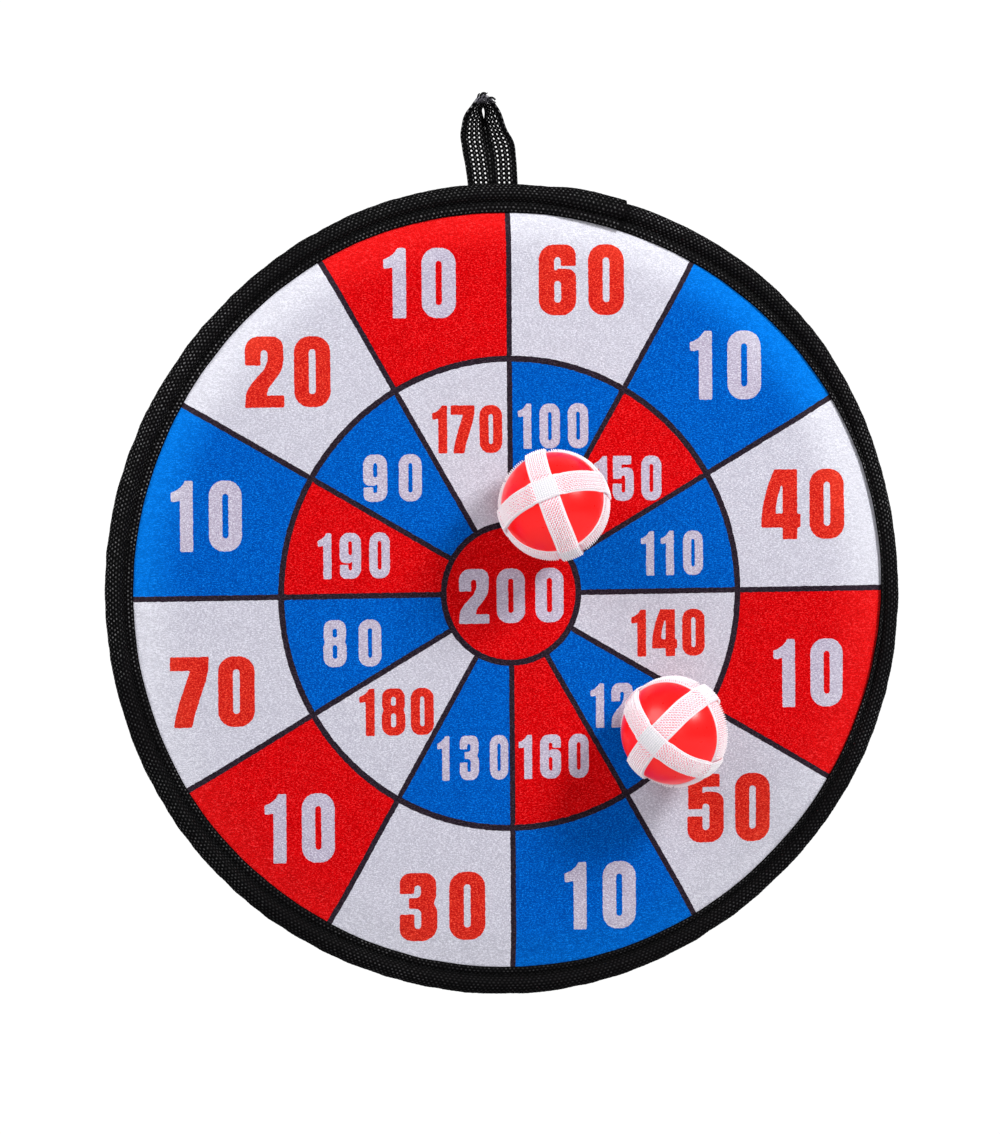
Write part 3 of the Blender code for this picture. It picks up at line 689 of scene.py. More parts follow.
def printed_plan(grain):
    """The face as flat triangles in the board's plane, split along every printed edge."""
    points, edges = [], []

    def add(line, closed):
        start = len(points)
        points.extend(line.tolist())
        n = len(line)
        edges.extend((start + i, start + i + 1) for i in range(n - 1))
        if closed:
            edges.append((start + n - 1, start))

    a = np.arange(720) * TAU / 720
    add(FACE_R * np.stack([np.cos(a), np.sin(a)], -1), True)
    for r in (BULL_R - RING_W / 2, BULL_R + RING_W / 2, RING_R - RING_W / 2, RING_R + RING_W / 2):
        a = np.linspace(0.0, TAU, int(TAU * r / 0.8), endpoint=False)
        add(to_board(ragged(r * np.stack([np.cos(a), np.sin(a)], -1), 0.05)), True)
    for k in range(12):
        t = math.radians(30.0 * k)
        d, s = np.array([math.cos(t), math.sin(t)]), np.array([-math.sin(t), math.cos(t)])
        for side in (-1, 1):
            lengths = np.r_[np.arange(BULL_R + RING_W / 2 + 0.3, RING_R - RING_W / 2 - 0.2, 0.8)]
            outer = np.arange(RING_R + RING_W / 2 + 0.3, 137.6, 0.8)
            for run in (lengths, outer):
                line = d * run[:, None] + s * (side * SPOKE_W / 2)
                line += s * rng.normal(0.0, 0.05, len(run))[:, None]
                line = to_board(line)
                add(line[np.hypot(line[:, 0], line[:, 1]) < FACE_R - 0.5], False)
    figures = [(colour, [ragged(spaced(l, 0.5), 0.045) for l in loops]) for colour, loops in placed_numbers()]
    for colour, loops in figures:
        for l in loops:
            add(to_board(l), True)
    tree = kdtree.KDTree(len(points))
    for i, p in enumerate(points):
        tree.insert((p[0], p[1], 0.0), i)
    tree.balance()
    rows = np.arange(-138.0, 138.0, grain * 0.866)
    free = []
    for i, z in enumerate(rows):
        xs = np.arange(-138.0, 138.0, grain) + (0.5 * grain if i % 2 else 0.0)
        free.append(np.stack([xs, np.full(len(xs), z)], -1))
    free = np.concatenate(free)
    free += rng.uniform(-0.16, 0.16, free.shape) * grain
    free = free[np.hypot(free[:, 0], free[:, 1]) < FACE_R - 0.7 * grain]
    keep = np.array([tree.find((p[0], p[1], 0.0))[2] > 0.42 for p in free])
    points.extend(free[keep].tolist())
    verts, _, tris, *_ = delaunay_2d_cdt([Vector(p) for p in points], edges, [], 0, 1e-6, False)
    verts = np.array([tuple(v) for v in verts])
    tris = np.array([list(t) for t in tris])
    centre = to_print(verts[tris].mean(1))
    r, t = np.hypot(centre[:, 0], centre[:, 1]), np.degrees(np.arctan2(centre[:, 1], centre[:, 0])) % 360.0
    sector = (t // 30.0).astype(int)
    outer = np.where(sector % 2 == 0, WHITE, np.array([-1, BLUE, -1, RED, -1, BLUE, -1, RED, -1, BLUE, -1, RED])[sector])
    inner = np.array([BLUE, RED, BLUE, WHITE, BLUE, RED, BLUE, WHITE, BLUE, RED, BLUE, WHITE])[sector]
    zone = np.where(r < BULL_R, RED, np.where(r < RING_R, inner, outer))
    near = np.abs(((t + 15.0) % 30.0) - 15.0)
    on_spoke = (r > BULL_R) & (r * np.sin(np.radians(near)) < SPOKE_W / 2)
    on_ring = (np.abs(r - BULL_R) < RING_W / 2) | (np.abs(r - RING_R) < RING_W / 2)
    zone[on_spoke | on_ring] = LINE
    for colour, loops in figures:
        lo, hi = loops[0].min(0), loops[0].max(0)
        box = np.where(((centre > lo) & (centre < hi)).all(1))[0]
        hit = np.zeros(len(box), bool)
        for l in loops:
            hit ^= inside(centre[box], l)
        zone[box[hit]] = colour
    return verts, tris, zone


def pressed_offset():
    """The face is laid over foam and pulled down by the seam: cloth simulation of a knit disc
    held at its stitches, pressed out from behind. Returns radii, angles and depth offsets."""
    radii = np.r_[np.arange(10.0, 100.0, 12.0), np.arange(100.0, 118.0, 4.0), np.arange(118.0, 136.1, 1.8)]
    turns = 288
    angles = np.arange(turns) * TAU / turns
    held = radii >= STITCH_R - 1.5
    a, r = np.meshgrid(angles, radii)
    start = face_depth(r) - 0.30
    local = np.random.default_rng(5)
    pull = np.interp(np.arange(turns), np.arange(0, turns, 3), local.uniform(-0.10, 0.10, turns // 3))
    start = start + held[:, None] * pull[None, :]
    flat = np.stack([r * np.cos(a), -start, r * np.sin(a)], -1).reshape(-1, 3)
    middle = np.array([[0.0, -(FIELD_DEPTH - 0.30), 0.0]])
    faces = grid_faces(len(radii), turns, False, True).tolist()
    hub = len(flat)
    faces += [[hub, (k + 1) % turns, k] for k in range(turns)]
    obj = piece("press_test", np.r_[flat, middle], faces, WHITE_KNIT)
    group = obj.vertex_groups.new(name="stitches")
    group.add([int(i) for i in np.where(np.repeat(held, turns))[0]], 1.0, "REPLACE")
    cloth = obj.modifiers.new("cloth", "CLOTH")
    s = cloth.settings
    s.quality = 6
    s.mass = 0.25
    s.tension_stiffness = s.compression_stiffness = 20.0
    s.shear_stiffness = 8.0
    s.bending_stiffness = 0.4
    s.effector_weights.gravity = 0.0
    s.vertex_group_mass = "stitches"
    s.use_pressure = True
    s.uniform_pressure_force = 4.0
    s.shrink_min = -0.006
    cloth.point_cache.frame_start, cloth.point_cache.frame_end = 1, 20
    for f in range(1, 21):
        scene.frame_set(f)
    shaped = obj.evaluated_get(bpy.context.evaluated_depsgraph_get()).to_mesh()
    co = np.zeros(len(shaped.vertices) * 3)
    shaped.vertices.foreach_get("co", co)
    moved = -co.reshape(-1, 3)[:hub, 1] / MM - start.ravel()
    scene.frame_set(1)
    bpy.data.objects.remove(obj, do_unlink=True)
    moved = moved.reshape(len(radii), turns)
    if np.median(moved[:5]) < 0:
        moved = -moved
    most = 0.55
    moved = most * np.tanh(moved / most) - 0.30
    moved[held] = np.where(held[:, None], pull[None, :], 0.0)[held] - 0.30
    return radii, angles, moved


PRESS = pressed_offset()


def pressed(x, z):
    """The simulated offset at any place on the face."""
    radii, angles, moved = PRESS
    r, a = np.hypot(x, z), np.arctan2(z, x) % TAU
    step = TAU / len(angles)
    j = a / step
    j0 = j.astype(int) % len(angles)
    j1, fj = (j0 + 1) % len(angles), j - np.floor(j)
    i = np.clip(np.interp(r, radii, np.arange(len(radii))), 0, len(radii) - 1.001)
    i0, fi = i.astype(int), i - np.floor(i)
    low = moved[i0, j0] * (1 - fj) + moved[i0, j1] * fj
    high = moved[i0 + 1, j0] * (1 - fj) + moved[i0 + 1, j1] * fj
    return low * (1 - fi) + high * fi


def field_noise(x, z, seed, size, terms=14):
    """Smooth random relief over the board, about 1 at its highest, with bumps of a given size."""
    r = np.random.default_rng(seed)
    total = np.zeros_like(x)
    for _ in range(terms):
        t, k = r.uniform(0, TAU), TAU / (size * r.uniform(0.7, 1.6))
        total += np.sin(k * (x * math.cos(t) + z * math.sin(t)) + r.uniform(0, TAU))
    return total / (0.9 * terms ** 0.5)


def seam_pucker(x, z):
    """Each stitch draws the layers down; the pull dies out within a few millimetres."""
    r, a = np.hypot(x, z), np.arctan2(z, x)
    seam = STITCH_R + 0.8 * seam_wobble(a)
    stitch = np.cos(a * round(TAU * STITCH_R / STITCH_PITCH))
    return stitch * np.exp(-np.abs(seam - r) / 2.6)


def build_face():
    plan, tris, zone = printed_plan(1.05)
    x, z = plan[:, 0], plan[:, 1]
    r = np.hypot(x, z)
    deep = face_depth(r) + pressed(x, z)
    deep += 0.07 * field_noise(x, z, 3, 46.0) + 0.035 * field_noise(x, z, 4, 9.0)
    deep += 0.09 * seam_pucker(x, z)
    courses = np.sin(TAU * z / 1.72 + 0.9 * np.sin(TAU * x / 7.3) + 0.7 * np.sin(TAU * x / 2.9 + z))
    deep += 0.018 * courses + rng.normal(0.0, 0.020, len(x)) * (r < FACE_R - 1)
    front = np.stack([x, -deep, z], -1)
    rim = np.where(r > FACE_R - 0.01)[0]
    rim = rim[np.argsort(np.arctan2(z[rim], x[rim]))]
    rings = [136.0, 130.0, 124.0, 116.0, 100.0, 70.0, 35.0]
    count = len(rim)
    a = np.arctan2(z[rim], x[rim])
    rear = []
    for q in rings:
        back = np.stack([q * np.cos(a), np.zeros(count), q * np.sin(a)], -1)
        back[:, 1] = -(face_depth(np.full(count, q)) + pressed(back[:, 0], back[:, 2]) * (q < 133) - 0.95)
        rear.append(back)
    rear = np.concatenate(rear)
    start = len(front)
    faces = tris.tolist()
    # the planar split winds towards +Z of its own plane, which is the board's front here
    v = front[tris[0]]
    if np.cross(v[1] - v[0], v[2] - v[0])[1] > 0:
        faces = tris[:, ::-1].tolist()
    slots = zone.tolist()
    for k in range(count):
        k2 = (k + 1) % count
        faces.append([int(rim[k]), start + k, start + k2, int(rim[k2])])
        for m in range(len(rings) - 1):
            b = start + m * count
            faces.append([b + k, b + count + k, b + count + k2, b + k2])
        slots += [WHITE] * len(rings)
    faces.append([start + (len(rings) - 1) * count + k for k in range(count)])
    slots.append(WHITE)
    obj = piece("front_loop_fabric", np.r_[front, rear], faces, KNITS, slots)
    bm = bmesh.new()
    bm.from_mesh(obj.data)
    bmesh.ops.recalc_face_normals(bm, faces=bm.faces)
    bm.to_mesh(obj.data)
    bm.free()
    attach(obj, "board")
    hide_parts("front_fabric")
    return obj


def turned_sheet(name, radii, height_front, height_rear, turns, material):
    """A closed round layer: a front and a rear surface over the same polar grid."""
    a = np.arange(turns) * TAU / turns
    rr, aa = np.meshgrid(radii, a, indexing="ij")
    x, z = rr * np.cos(aa), rr * np.sin(aa)
    f = np.stack([x, -height_front(x, z, rr), z], -1).reshape(-1, 3)
    b = np.stack([x, -height_rear(x, z, rr), z], -1).reshape(-1, 3)
    n = len(f)
    hub = np.array([[0.0, -float(height_front(np.zeros(1), np.zeros(1), np.zeros(1))[0]), 0.0],
                    [0.0, -float(height_rear(np.zeros(1), np.zeros(1), np.zeros(1))[0]), 0.0]])
    quads = grid_faces(len(radii), turns, False, True)
    faces = quads.tolist() + (quads[:, ::-1] + n).tolist()
    last = (len(radii) - 1) * turns
    for k in range(turns):
        k2 = (k + 1) % turns
        faces.append([2 * n, k2, k])
        faces.append([2 * n + 1, n + k, n + k2])
        faces.append([last + k, last + k2, n + last + k2, n + last + k])
    obj = piece(name, np.r_[f, b, hub], faces, material)
    bm = bmesh.new()
    bm.from_mesh(obj.data)
    bmesh.ops.recalc_face_normals(bm, faces=bm.faces)
    bm.to_mesh(obj.data)
    bm.free()
    return obj


face = build_face()

foam = turned_sheet(
    "foam_core", np.r_[np.arange(6.0, 116.0, 5.0), np.arange(116.0, 136.3, 1.6), 136.3],
    lambda x, z, r: face_depth(r) + pressed(x, z) * (r < 133) - 1.30 + 0.03 * field_noise(x, z, 8, 5.0),
    lambda x, z, r: 2.6 + 0.35 * smooth((r - 126.6) / 2.8) + 0.02 * field_noise(x, z, 9, 5.0),
    300, FOAM,
)
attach(foam, "board")
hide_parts("foam_pad")

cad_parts["stiffener_board"].data.materials.clear()
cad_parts["stiffener_board"].data.materials.append(CARD)


def cover_rear(x, z, r):
    lift = 2.1 * smooth((r - 126.5) / 4.0)
    slack = 0.10 * (1.0 + field_noise(x, z, 21, 28.0)) + 0.05 * (1.0 + field_noise(x, z, 22, 7.0))
    ridge = 0.05 * (1.0 + seam_pucker(x, z))
    touching = (r < 3.0) | ((r > 60.0) & (r < 64.0))
    return lift + np.clip(slack * ~touching, 0.0, 0.32) + ridge * (r > 124.0)


cover = turned_sheet(
    "back_cloth", np.r_[np.arange(2.0, 122.0, 2.4), np.arange(122.0, 136.8, 0.9), 136.8],
    lambda x, z, r: cover_rear(x, z, r) + 0.42, cover_rear, 420, BACK_CLOTH,
)
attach(cover, "board")
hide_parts("back_cover")


# ================================================================ the binding and its seam
def binding_middle():
    """The folded tape's middle line across its width, from the front flange's edge, over the
    roll, to the rear flange's edge: (radius, depth)."""
    knots = np.array([
        (131.10, 5.80), (132.0, 5.98), (132.9, 5.96), (133.6, 5.45), (134.2, 5.10), (134.8, 5.90),
        (135.6, 6.95), (136.7, 7.45), (138.2, 7.10), (139.4, 6.05), (140.05, 4.85), (140.15, 4.0), (139.7, 2.9),
        (138.5, 1.95), (136.8, 1.58), (135.2, 1.50), (134.0, 1.55), (132.6, 1.50), (131.0, 1.55),
    ])
    t = np.linspace(0, len(knots) - 1, 55)
    fine = np.stack([np.interp(t, np.arange(len(knots)), knots[:, k]) for k in (0, 1)], -1)
    for _ in range(2):
        fine[1:-1] = 0.25 * fine[:-2] + 0.5 * fine[1:-1] + 0.25 * fine[2:]
    return spaced(fine, 0.78, closed=False)


def build_binding():
    middle = binding_middle()
    k = len(middle)
    run = np.r_[0.0, np.cumsum(np.linalg.norm(np.diff(middle, axis=0), axis=1))]
    stitches = round(TAU * STITCH_R / STITCH_PITCH)
    per = 6
    count = int(stitches * per * (360.0 + LAP_SPAN) / 360.0)
    a = math.radians(LAP_ANGLE) + np.linspace(0.0, math.radians(360.0 + LAP_SPAN), count)
    a2, r0 = np.meshgrid(a, middle[:, 0], indexing="ij")
    d0 = np.meshgrid(a, middle[:, 1], indexing="ij")[1]
    run2 = np.meshgrid(a, run, indexing="ij")[1]
    front = run2 < 0.55 * run[-1]
    # the seam's line wanders with the flange, the rim with the feed of the tape
    flange = smooth((135.6 - r0) / 2.2)
    r = r0 + seam_wobble(a2) * flange * np.where(front, 0.80, 0.5) + outline_wobble(a2) * (1 - flange)
    edge = smooth((133.6 - r0) / 2.0) * front
    r += (0.20 * seam_wobble(a2) + 0.42 * np.cos(a2) - 0.20 * np.sin(a2)) * edge + 0.16 * waves(a2, 24, 31, 6) * edge
    # crinkles of the tape: broad ones along the roll, and a pucker at every stitch
    roll = smooth((r0 - 135.0) / 2.0)
    stitch = np.cos(a2 * stitches)
    skew = np.cos(a2 * stitches + 0.9 * run2)
    arc = a2 * 137.0
    crinkle = (
        0.13 * waves(a2, 40, 33, 20) * roll + 0.10 * waves(a2 + 0.02 * run2, 60, 34, 60) * roll
        + 0.07 * skew * np.exp(-np.abs(run2 - 2.7) / 2.2) + 0.05 * skew * np.exp(-np.abs(run2 - (run[-1] - 3.0)) / 2.0)
    )
    net = 0.045 * np.cos(TAU * arc / 1.56) * np.cos(TAU * run2 / 1.84)
    # unit normals of the middle line in the (radius, depth) plane
    t = np.gradient(middle, axis=0)
    t /= np.linalg.norm(t, axis=1)[:, None]
    nr, nd = -t[:, 1], t[:, 0]
    if nd[0] < 0:
        nr, nd = -nr, -nd
    nr, nd = np.broadcast_to(nr, r.shape), np.broadcast_to(nd, r.shape)
    # the lap: the tape's last stretch lies over its first, then settles on to the roll
    along = np.degrees(a2) - LAP_ANGLE
    lift = 0.92 * (1.0 - smooth((along - LAP_SPAN - 0.6) / 7.0)) + 0.10 * np.exp(-along / 0.8) * roll
    tuck = -0.10 * smooth((along - 356.0) / 4.0)
    raised = lift + tuck + crinkle
    raised = np.where(front & (run2 < 1.2), np.maximum(raised, -0.03), raised)
    waviness = 0.10 * waves(a2, 30, 35, 10) * edge
    half = 0.30 - 0.07 * edge
    outer_r, outer_d = r + nr * (raised + half + net), d0 + nd * (raised + half + net) + np.abs(waviness)
    inner_r, inner_d = r + nr * (raised - half), d0 + nd * (raised - half) + np.abs(waviness)
    ring_r = np.concatenate([outer_r, inner_r[:, ::-1]], 1)
    ring_d = np.maximum(np.concatenate([outer_d, inner_d[:, ::-1]], 1), 0.62)
    angle = np.concatenate([a2, a2], 1)
    points = np.stack([ring_r * np.cos(angle), -ring_d, ring_r * np.sin(angle)], -1).reshape(-1, 3)
    cols = 2 * k
    faces = grid_faces(count, cols, False, True).tolist()
    faces.append(list(range(cols)))
    faces.append([(count - 1) * cols + i for i in range(cols)][::-1])
    u = np.repeat(arc[:, :1], cols, 1)
    v = np.broadcast_to(np.r_[run, run[::-1] + 0.4], (count, cols))
    obj = piece("edge_binding_tape", points, faces, BINDING, uv=np.stack([u, v], -1).reshape(-1, 2))
    bm = bmesh.new()
    bm.from_mesh(obj.data)
    bmesh.ops.recalc_face_normals(bm, faces=bm.faces)
    bm.to_mesh(obj.data)
    bm.free()
    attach(obj, "board")
    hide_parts("edge_binding")
    return obj, run[-1]


binding, tape_width = build_binding()


def seam_thread(name, node, depth, outward, skip=None):
    """Lock stitches: each one lies on the tape and dives into it at both ends."""
    stitches = round(TAU * STITCH_R / STITCH_PITCH)
    per = 10
    a = np.arange(stitches * per) * TAU / (stitches * per)
    if skip is not None:
        a = a[np.abs((np.degrees(a) - skip[0] + 180.0) % 360.0 - 180.0) > skip[1]]
        cut = int(np.argmax(np.diff(np.r_[a, a[0] + TAU])))
        a = np.roll(a, -(cut + 1))
    phase = (a * stitches / TAU) % 1.0
    dive = 0.60 * (np.abs(2.0 * phase - 1.0) ** 7)
    r = STITCH_R + (0.80 if outward > 0 else 0.5) * seam_wobble(a) + 0.05 * np.sin(a * stitches / 2.0)
    along = (np.degrees(a) - LAP_ANGLE) % 360.0
    lap = 0.92 * (1.0 - smooth((along - LAP_SPAN - 0.6) / 7.0)) * (along < 200.0)
    d = depth + outward * (lap * smooth(along / 1.0) - dive)
    if outward < 0:
        d = np.maximum(d, 0.30)
    line = np.stack([r * np.cos(a), -d, r * np.sin(a)], -1)
    obj = tube(name, line, 0.19, 6, THREAD, closed=skip is None)
    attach(obj, "board")
    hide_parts(node)
    return obj


needle = seam_thread("needle_lock_stitches", "binding_needle_thread", 5.60, 1.0)
bobbin = seam_thread("bobbin_lock_stitches", "binding_bobbin_thread", 1.06, -1.0, (91.8, 4.0))


# ================================================================ the hanging loop
TAPE_WIDTH = 9.2
FRONT_EDGE = np.array([
    (-12.9, -0.75, 129.7), (-12.9, -0.75, 134.5), (-12.9, -0.75, 139.2), (-13.9, -1.0, 146.0),
    (-15.2, -1.6, 152.0), (-15.9, -2.8, 156.5), (-15.8, -5.0, 160.3), (-15.0, -7.3, 163.3),
    (-13.7, -8.6, 165.7), (-12.0, -9.2, 168.0), (-10.0, -9.3, 169.3), (-7.7, -9.1, 168.6),
    (-5.8, -8.6, 166.9), (-4.0, -8.1, 164.4), (-2.3, -7.4, 160.6), (-0.1, -5.4, 156.9),
    (2.5, -3.0, 153.4), (3.6, -1.6, 148.3), (4.36, -0.8, 139.2), (4.36, -0.75, 134.5), (4.36, -0.75, 129.7),
])
REAR_EDGE = np.array([
    (-4.35, -0.75, 129.7), (-4.2, -0.75, 134.5), (-3.9, -0.75, 139.2), (-4.7, -0.7, 146.0),
    (-5.9, -0.7, 152.0), (-6.8, -0.70, 156.5), (-7.3, -0.75, 160.3), (-7.80, -0.9, 162.2),
    (-8.15, -1.0, 164.2), (-8.05, -1.1, 165.4), (-7.75, -1.15, 165.9), (-7.45, -1.15, 165.4),
    (-7.30, -1.15, 164.2), (-7.35, -1.2, 162.2), (-7.25, -1.25, 160.2), (-6.75, -1.25, 156.7),
    (-6.2, -1.25, 152.6), (-5.4, -1.25, 147.5), (-4.75, -1.15, 139.2), (-4.4, -0.78, 134.5), (-4.15, -0.75, 129.7),
])


def through(knots, count):
    """A smooth curve through knots."""
    n = len(knots)
    t = np.linspace(0, n - 1, count)
    i = np.clip(t.astype(int), 0, n - 2)
    f = (t - i)[:, None]
    p0, p1, p2, p3 = (knots[np.clip(i + s, 0, n - 1)] for s in (-1, 0, 1, 2))
    return 0.5 * (2 * p1 + (p2 - p0) * f + (2 * p0 - 5 * p1 + 4 * p2 - p3) * f**2 + (3 * p1 - p0 - 3 * p2 + p3) * f**3)


def build_loop():
    a, b = through(FRONT_EDGE, 801), through(REAR_EDGE, 801)
    centre = 0.5 * (a + b)
    run = np.r_[0.0, np.cumsum(np.linalg.norm(np.diff(centre, axis=0), axis=1))]
    rows = int(round(run[-1] / 1.56))
    cross = 5
    across = b - a
    ahead = np.gradient(centre, axis=0)
    normal = np.cross(across, ahead)
    normal /= np.linalg.norm(normal, axis=1)[:, None]

    def at(u, v, out=0.0):
        """u counts rows along the tape, v runs 0 to 1 from its front edge to its rear edge."""
        s = np.asarray(u, float) / rows * run[-1]
        p = [np.interp(s, run, a[:, k]) for k in range(3)]
        q = [np.interp(s, run, b[:, k]) for k in range(3)]
        m = [np.interp(s, run, normal[:, k]) for k in range(3)]
        v = np.asarray(v, float)
        free = smooth((s - 12.0) / 8.0) * smooth((run[-1] - 12.0 - s) / 8.0)
        bow = 0.45 * np.sin(math.pi * np.clip(v, 0, 1)) * free + 0.16 * np.sin(0.9 * s + 3 * v) * free + out
        return np.stack([p[k] + (q[k] - p[k]) * v + m[k] * bow for k in range(3)], -1)

    points, uvs, index, faces = [], [], {}, []

    def vert(key, u, v, out=0.0):
        if key not in index:
            index[key] = len(points)
            points.append((u, v, out))
            uvs.append((u * 1.56, v * TAPE_WIDTH))
        return index[key]

    for i in range(rows):
        for j in range(cross):
            ring = [(i, j), (i + 0.5, j), (i + 1, j), (i + 1, j + 0.5), (i + 1, j + 1), (i + 0.5, j + 1), (i, j + 1), (i, j + 0.5)]
            outer = [vert(("p", u, v), u, v / cross) for u, v in ring]
            hole = []
            for k in range(8):
                t = math.radians(-135.0 + 45.0 * k)
                hu, hv = i + 0.5 + 0.235 * math.cos(t), j + 0.5 + 0.195 * math.sin(t)
                hole.append(vert(("h", i, j, k), hu, hv / cross))
            # the ring above starts at its low corner, and so does the hole
            for k in range(8):
                k2 = (k + 1) % 8
                faces.append([outer[k], outer[k2], hole[k2], hole[k]])
    # each margin is folded under itself, which closes the outer holes from behind
    for side in (0, 1):
        lines = []
        for m, (v, out) in enumerate([(0.0, 0.0), (-0.012, -0.18), (0.0, -0.38), (0.06, -0.46), (0.13, -0.46), (0.205, -0.44)]):
            vv = v if side == 0 else 1.0 - v
            lines.append([vert(("m", side, m, i), i / 2, vv, out) for i in range(2 * rows + 1)])
        for p, q in zip(lines, lines[1:]):
            for i in range(2 * rows):
                quad = [p[i], p[i + 1], q[i + 1], q[i]]
                faces.append(quad if side else quad[::-1])
    arr = np.array(points)
    co = at(arr[:, 0], arr[:, 1], arr[:, 2])
    obj = piece("hanging_loop_tape", co, faces, LOOP, uv=np.array(uvs))
    bm = bmesh.new()
    bm.from_mesh(obj.data)
    bmesh.ops.remove_doubles(bm, verts=bm.verts, dist=0.00001)
    bmesh.ops.recalc_face_normals(bm, faces=bm.faces)
    bm.to_mesh(obj.data)
    bm.free()
    solid = obj.modifiers.new("tape_thickness", "SOLIDIFY")
    solid.thickness = 0.30 * MM
    solid.offset = 0.0
    dg = bpy.context.evaluated_depsgraph_get()
    mesh = bpy.data.meshes.new_from_object(obj.evaluated_get(dg))
    obj.modifiers.clear()
    obj.data = mesh
    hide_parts("hanging_loop", "loop_sewn_ends")
    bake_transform(obj)
    return obj


loop = build_loop()

# frayed yarn ends standing off the folded tip
FRAYED = [
    ((-10.9, -8.9, 168.4), (-10.4, -9.5, 171.0), (-8.8, -9.7, 170.0), 0.42),
    ((-11.6, -8.9, 167.9), (-11.9, -9.5, 169.7), (-11.0, -9.7, 170.1), 0.27),
    ((-8.3, -8.8, 167.8), (-7.1, -9.6, 169.7), (-5.5, -9.5, 168.0), 0.36),
    ((-7.4, -8.7, 167.2), (-6.1, -9.5, 168.0), (-5.2, -9.3, 166.9), 0.16),
    ((-9.6, -8.9, 168.6), (-9.0, -9.8, 170.0), (-8.2, -9.9, 170.4), 0.13),
]
fray_points, fray_faces, fray_uv = [], [], []
for root, knee, tip, radius in FRAYED:
    root, knee, tip = np.array(root), np.array(knee), np.array(tip)
    line = [(1 - t) ** 2 * root + 2 * t * (1 - t) * knee + t * t * tip for t in np.linspace(0.0, 1.0, 9)]
    yarn = tube("yarn", np.array(line), radius, 7, THREAD)
    first = len(fray_points)
    fray_points += [tuple(q.co) for q in yarn.data.vertices]
    fray_faces += [[first + i for i in face.vertices] for face in yarn.data.polygons]
    fray_uv += [(0.4 * (i // 7), TAU * (i % 7) / 7.0) for i in range(len(yarn.data.vertices))]
    bpy.data.objects.remove(yarn)
fray = piece("loop_frayed_yarns", np.array(fray_points) / MM, fray_faces, THREAD, uv=np.array(fray_uv))
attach(fray, "loop")

# a bar tack across both tails
tack = []
for i in range(49):
    t = i / 48.0
    tack.append((-12.4 + 16.3 * t, -(0.30 + 0.12 * (i % 2)), 132.6 if i % 2 else 135.4))
for i in range(41):
    t = i / 40.0
    tack.append((3.6 - 15.6 * t, -0.26 - 0.10 * math.sin(i), 134.0 + 1.1 * math.sin(2.4 * i)))
tacks = tube("loop_bar_tack", spaced(through(np.array(tack), 360), 0.30, closed=False), 0.11, 6, THREAD)
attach(tacks, "board")
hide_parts("loop_tack_thread")


# ================================================================ the balls
SHELL_R, SHELL_T = 18.1, 0.8
STRIP_W, STRIP_LOW, STRIP_HIGH, CRUSHED_HIGH, RAISED_LOW, RAISED_T = 7.7, 18.13, 19.25, 18.62, 18.78, 0.6
BUTT_ANGLE, BUTT_GAP = 225.0, 1.4
BALLS = {
    "ball_a": ((11.0, -26.85, 29.2), (-0.391, -0.863, 0.320), (0.217, -0.421, -0.883)),
    "ball_b": ((53.45, -26.55, -49.0), (-0.618, -0.778, -0.119), (0.488, -0.496, 0.716)),
}


def shell_half(name, sign, axes, centre):
    """Half of the blown ball: outer skin from pole to lip, a rolled lip, and the inner skin."""
    arc, turns = 28, 112
    outer = [(SHELL_R * math.cos(t), SHELL_R * math.sin(t)) for t in np.linspace(math.pi / 2, 0.016, arc)[1:]]
    lip = [(SHELL_R - 0.06, 0.17), (SHELL_R - 0.4, 0.15), (SHELL_R - SHELL_T + 0.06, 0.17)]
    inner_r = SHELL_R - SHELL_T
    inner = [(inner_r * math.cos(t), inner_r * math.sin(t)) for t in np.linspace(0.02, math.pi / 2, arc)[:-1]]
    profile = np.array(outer + lip + inner)
    a = np.arange(turns) * TAU / turns
    local = np.stack([
        profile[:, None, 0] * np.cos(a), profile[:, None, 0] * np.sin(a),
        np.broadcast_to(profile[:, None, 1] * sign, (len(profile), turns)),
    ], -1).reshape(-1, 3)
    n = len(local)
    local = np.r_[local, [[0, 0, SHELL_R * sign]], [[0, 0, inner_r * sign]]]
    faces = grid_faces(len(profile), turns, False, True).tolist()
    last = (len(profile) - 1) * turns
    for k in range(turns):
        k2 = (k + 1) % turns
        faces.append([n, k2, k])
        faces.append([n + 1, last + k, last + k2])
    obj = piece(name, local @ axes + centre, faces, SHELL_RED)
    bm = bmesh.new()
    bm.from_mesh(obj.data)
    bmesh.ops.recalc_face_normals(bm, faces=bm.faces)
    bm.to_mesh(obj.data)
    bm.free()
    return obj


def strip_levels(phi, above, below):
    """Inner radius and hook-tip radius of a strip, phi in degrees."""
    low, high = np.full_like(phi, STRIP_LOW), np.full_like(phi, STRIP_HIGH)
    for at in below:
        d = np.abs((phi - at + 180.0) % 360.0 - 180.0)
        t = smooth((d - 13.2) / 3.4)
        high = np.where(d < 17.0, CRUSHED_HIGH + (high - CRUSHED_HIGH) * t, high)
    for at in above:
        d = np.abs((phi - at + 180.0) % 360.0 - 180.0)
        t = smooth((d - 12.6) / 8.4)
        raised = RAISED_LOW / np.cos(np.radians(0.8 * np.minimum(d, 12.6)))
        near = d < 21.0
        low = np.where(near, raised + (STRIP_LOW - raised) * t, low)
        high = np.where(near, raised + RAISED_T + 0.1 + (STRIP_HIGH - raised - RAISED_T - 0.1) * t, high)
    return low, high


def hugged(s):
    """How far the ball's surface falls away across a strip, which is pulled down on to it."""
    return SHELL_R - np.sqrt(SHELL_R**2 - np.asarray(s, float) ** 2)


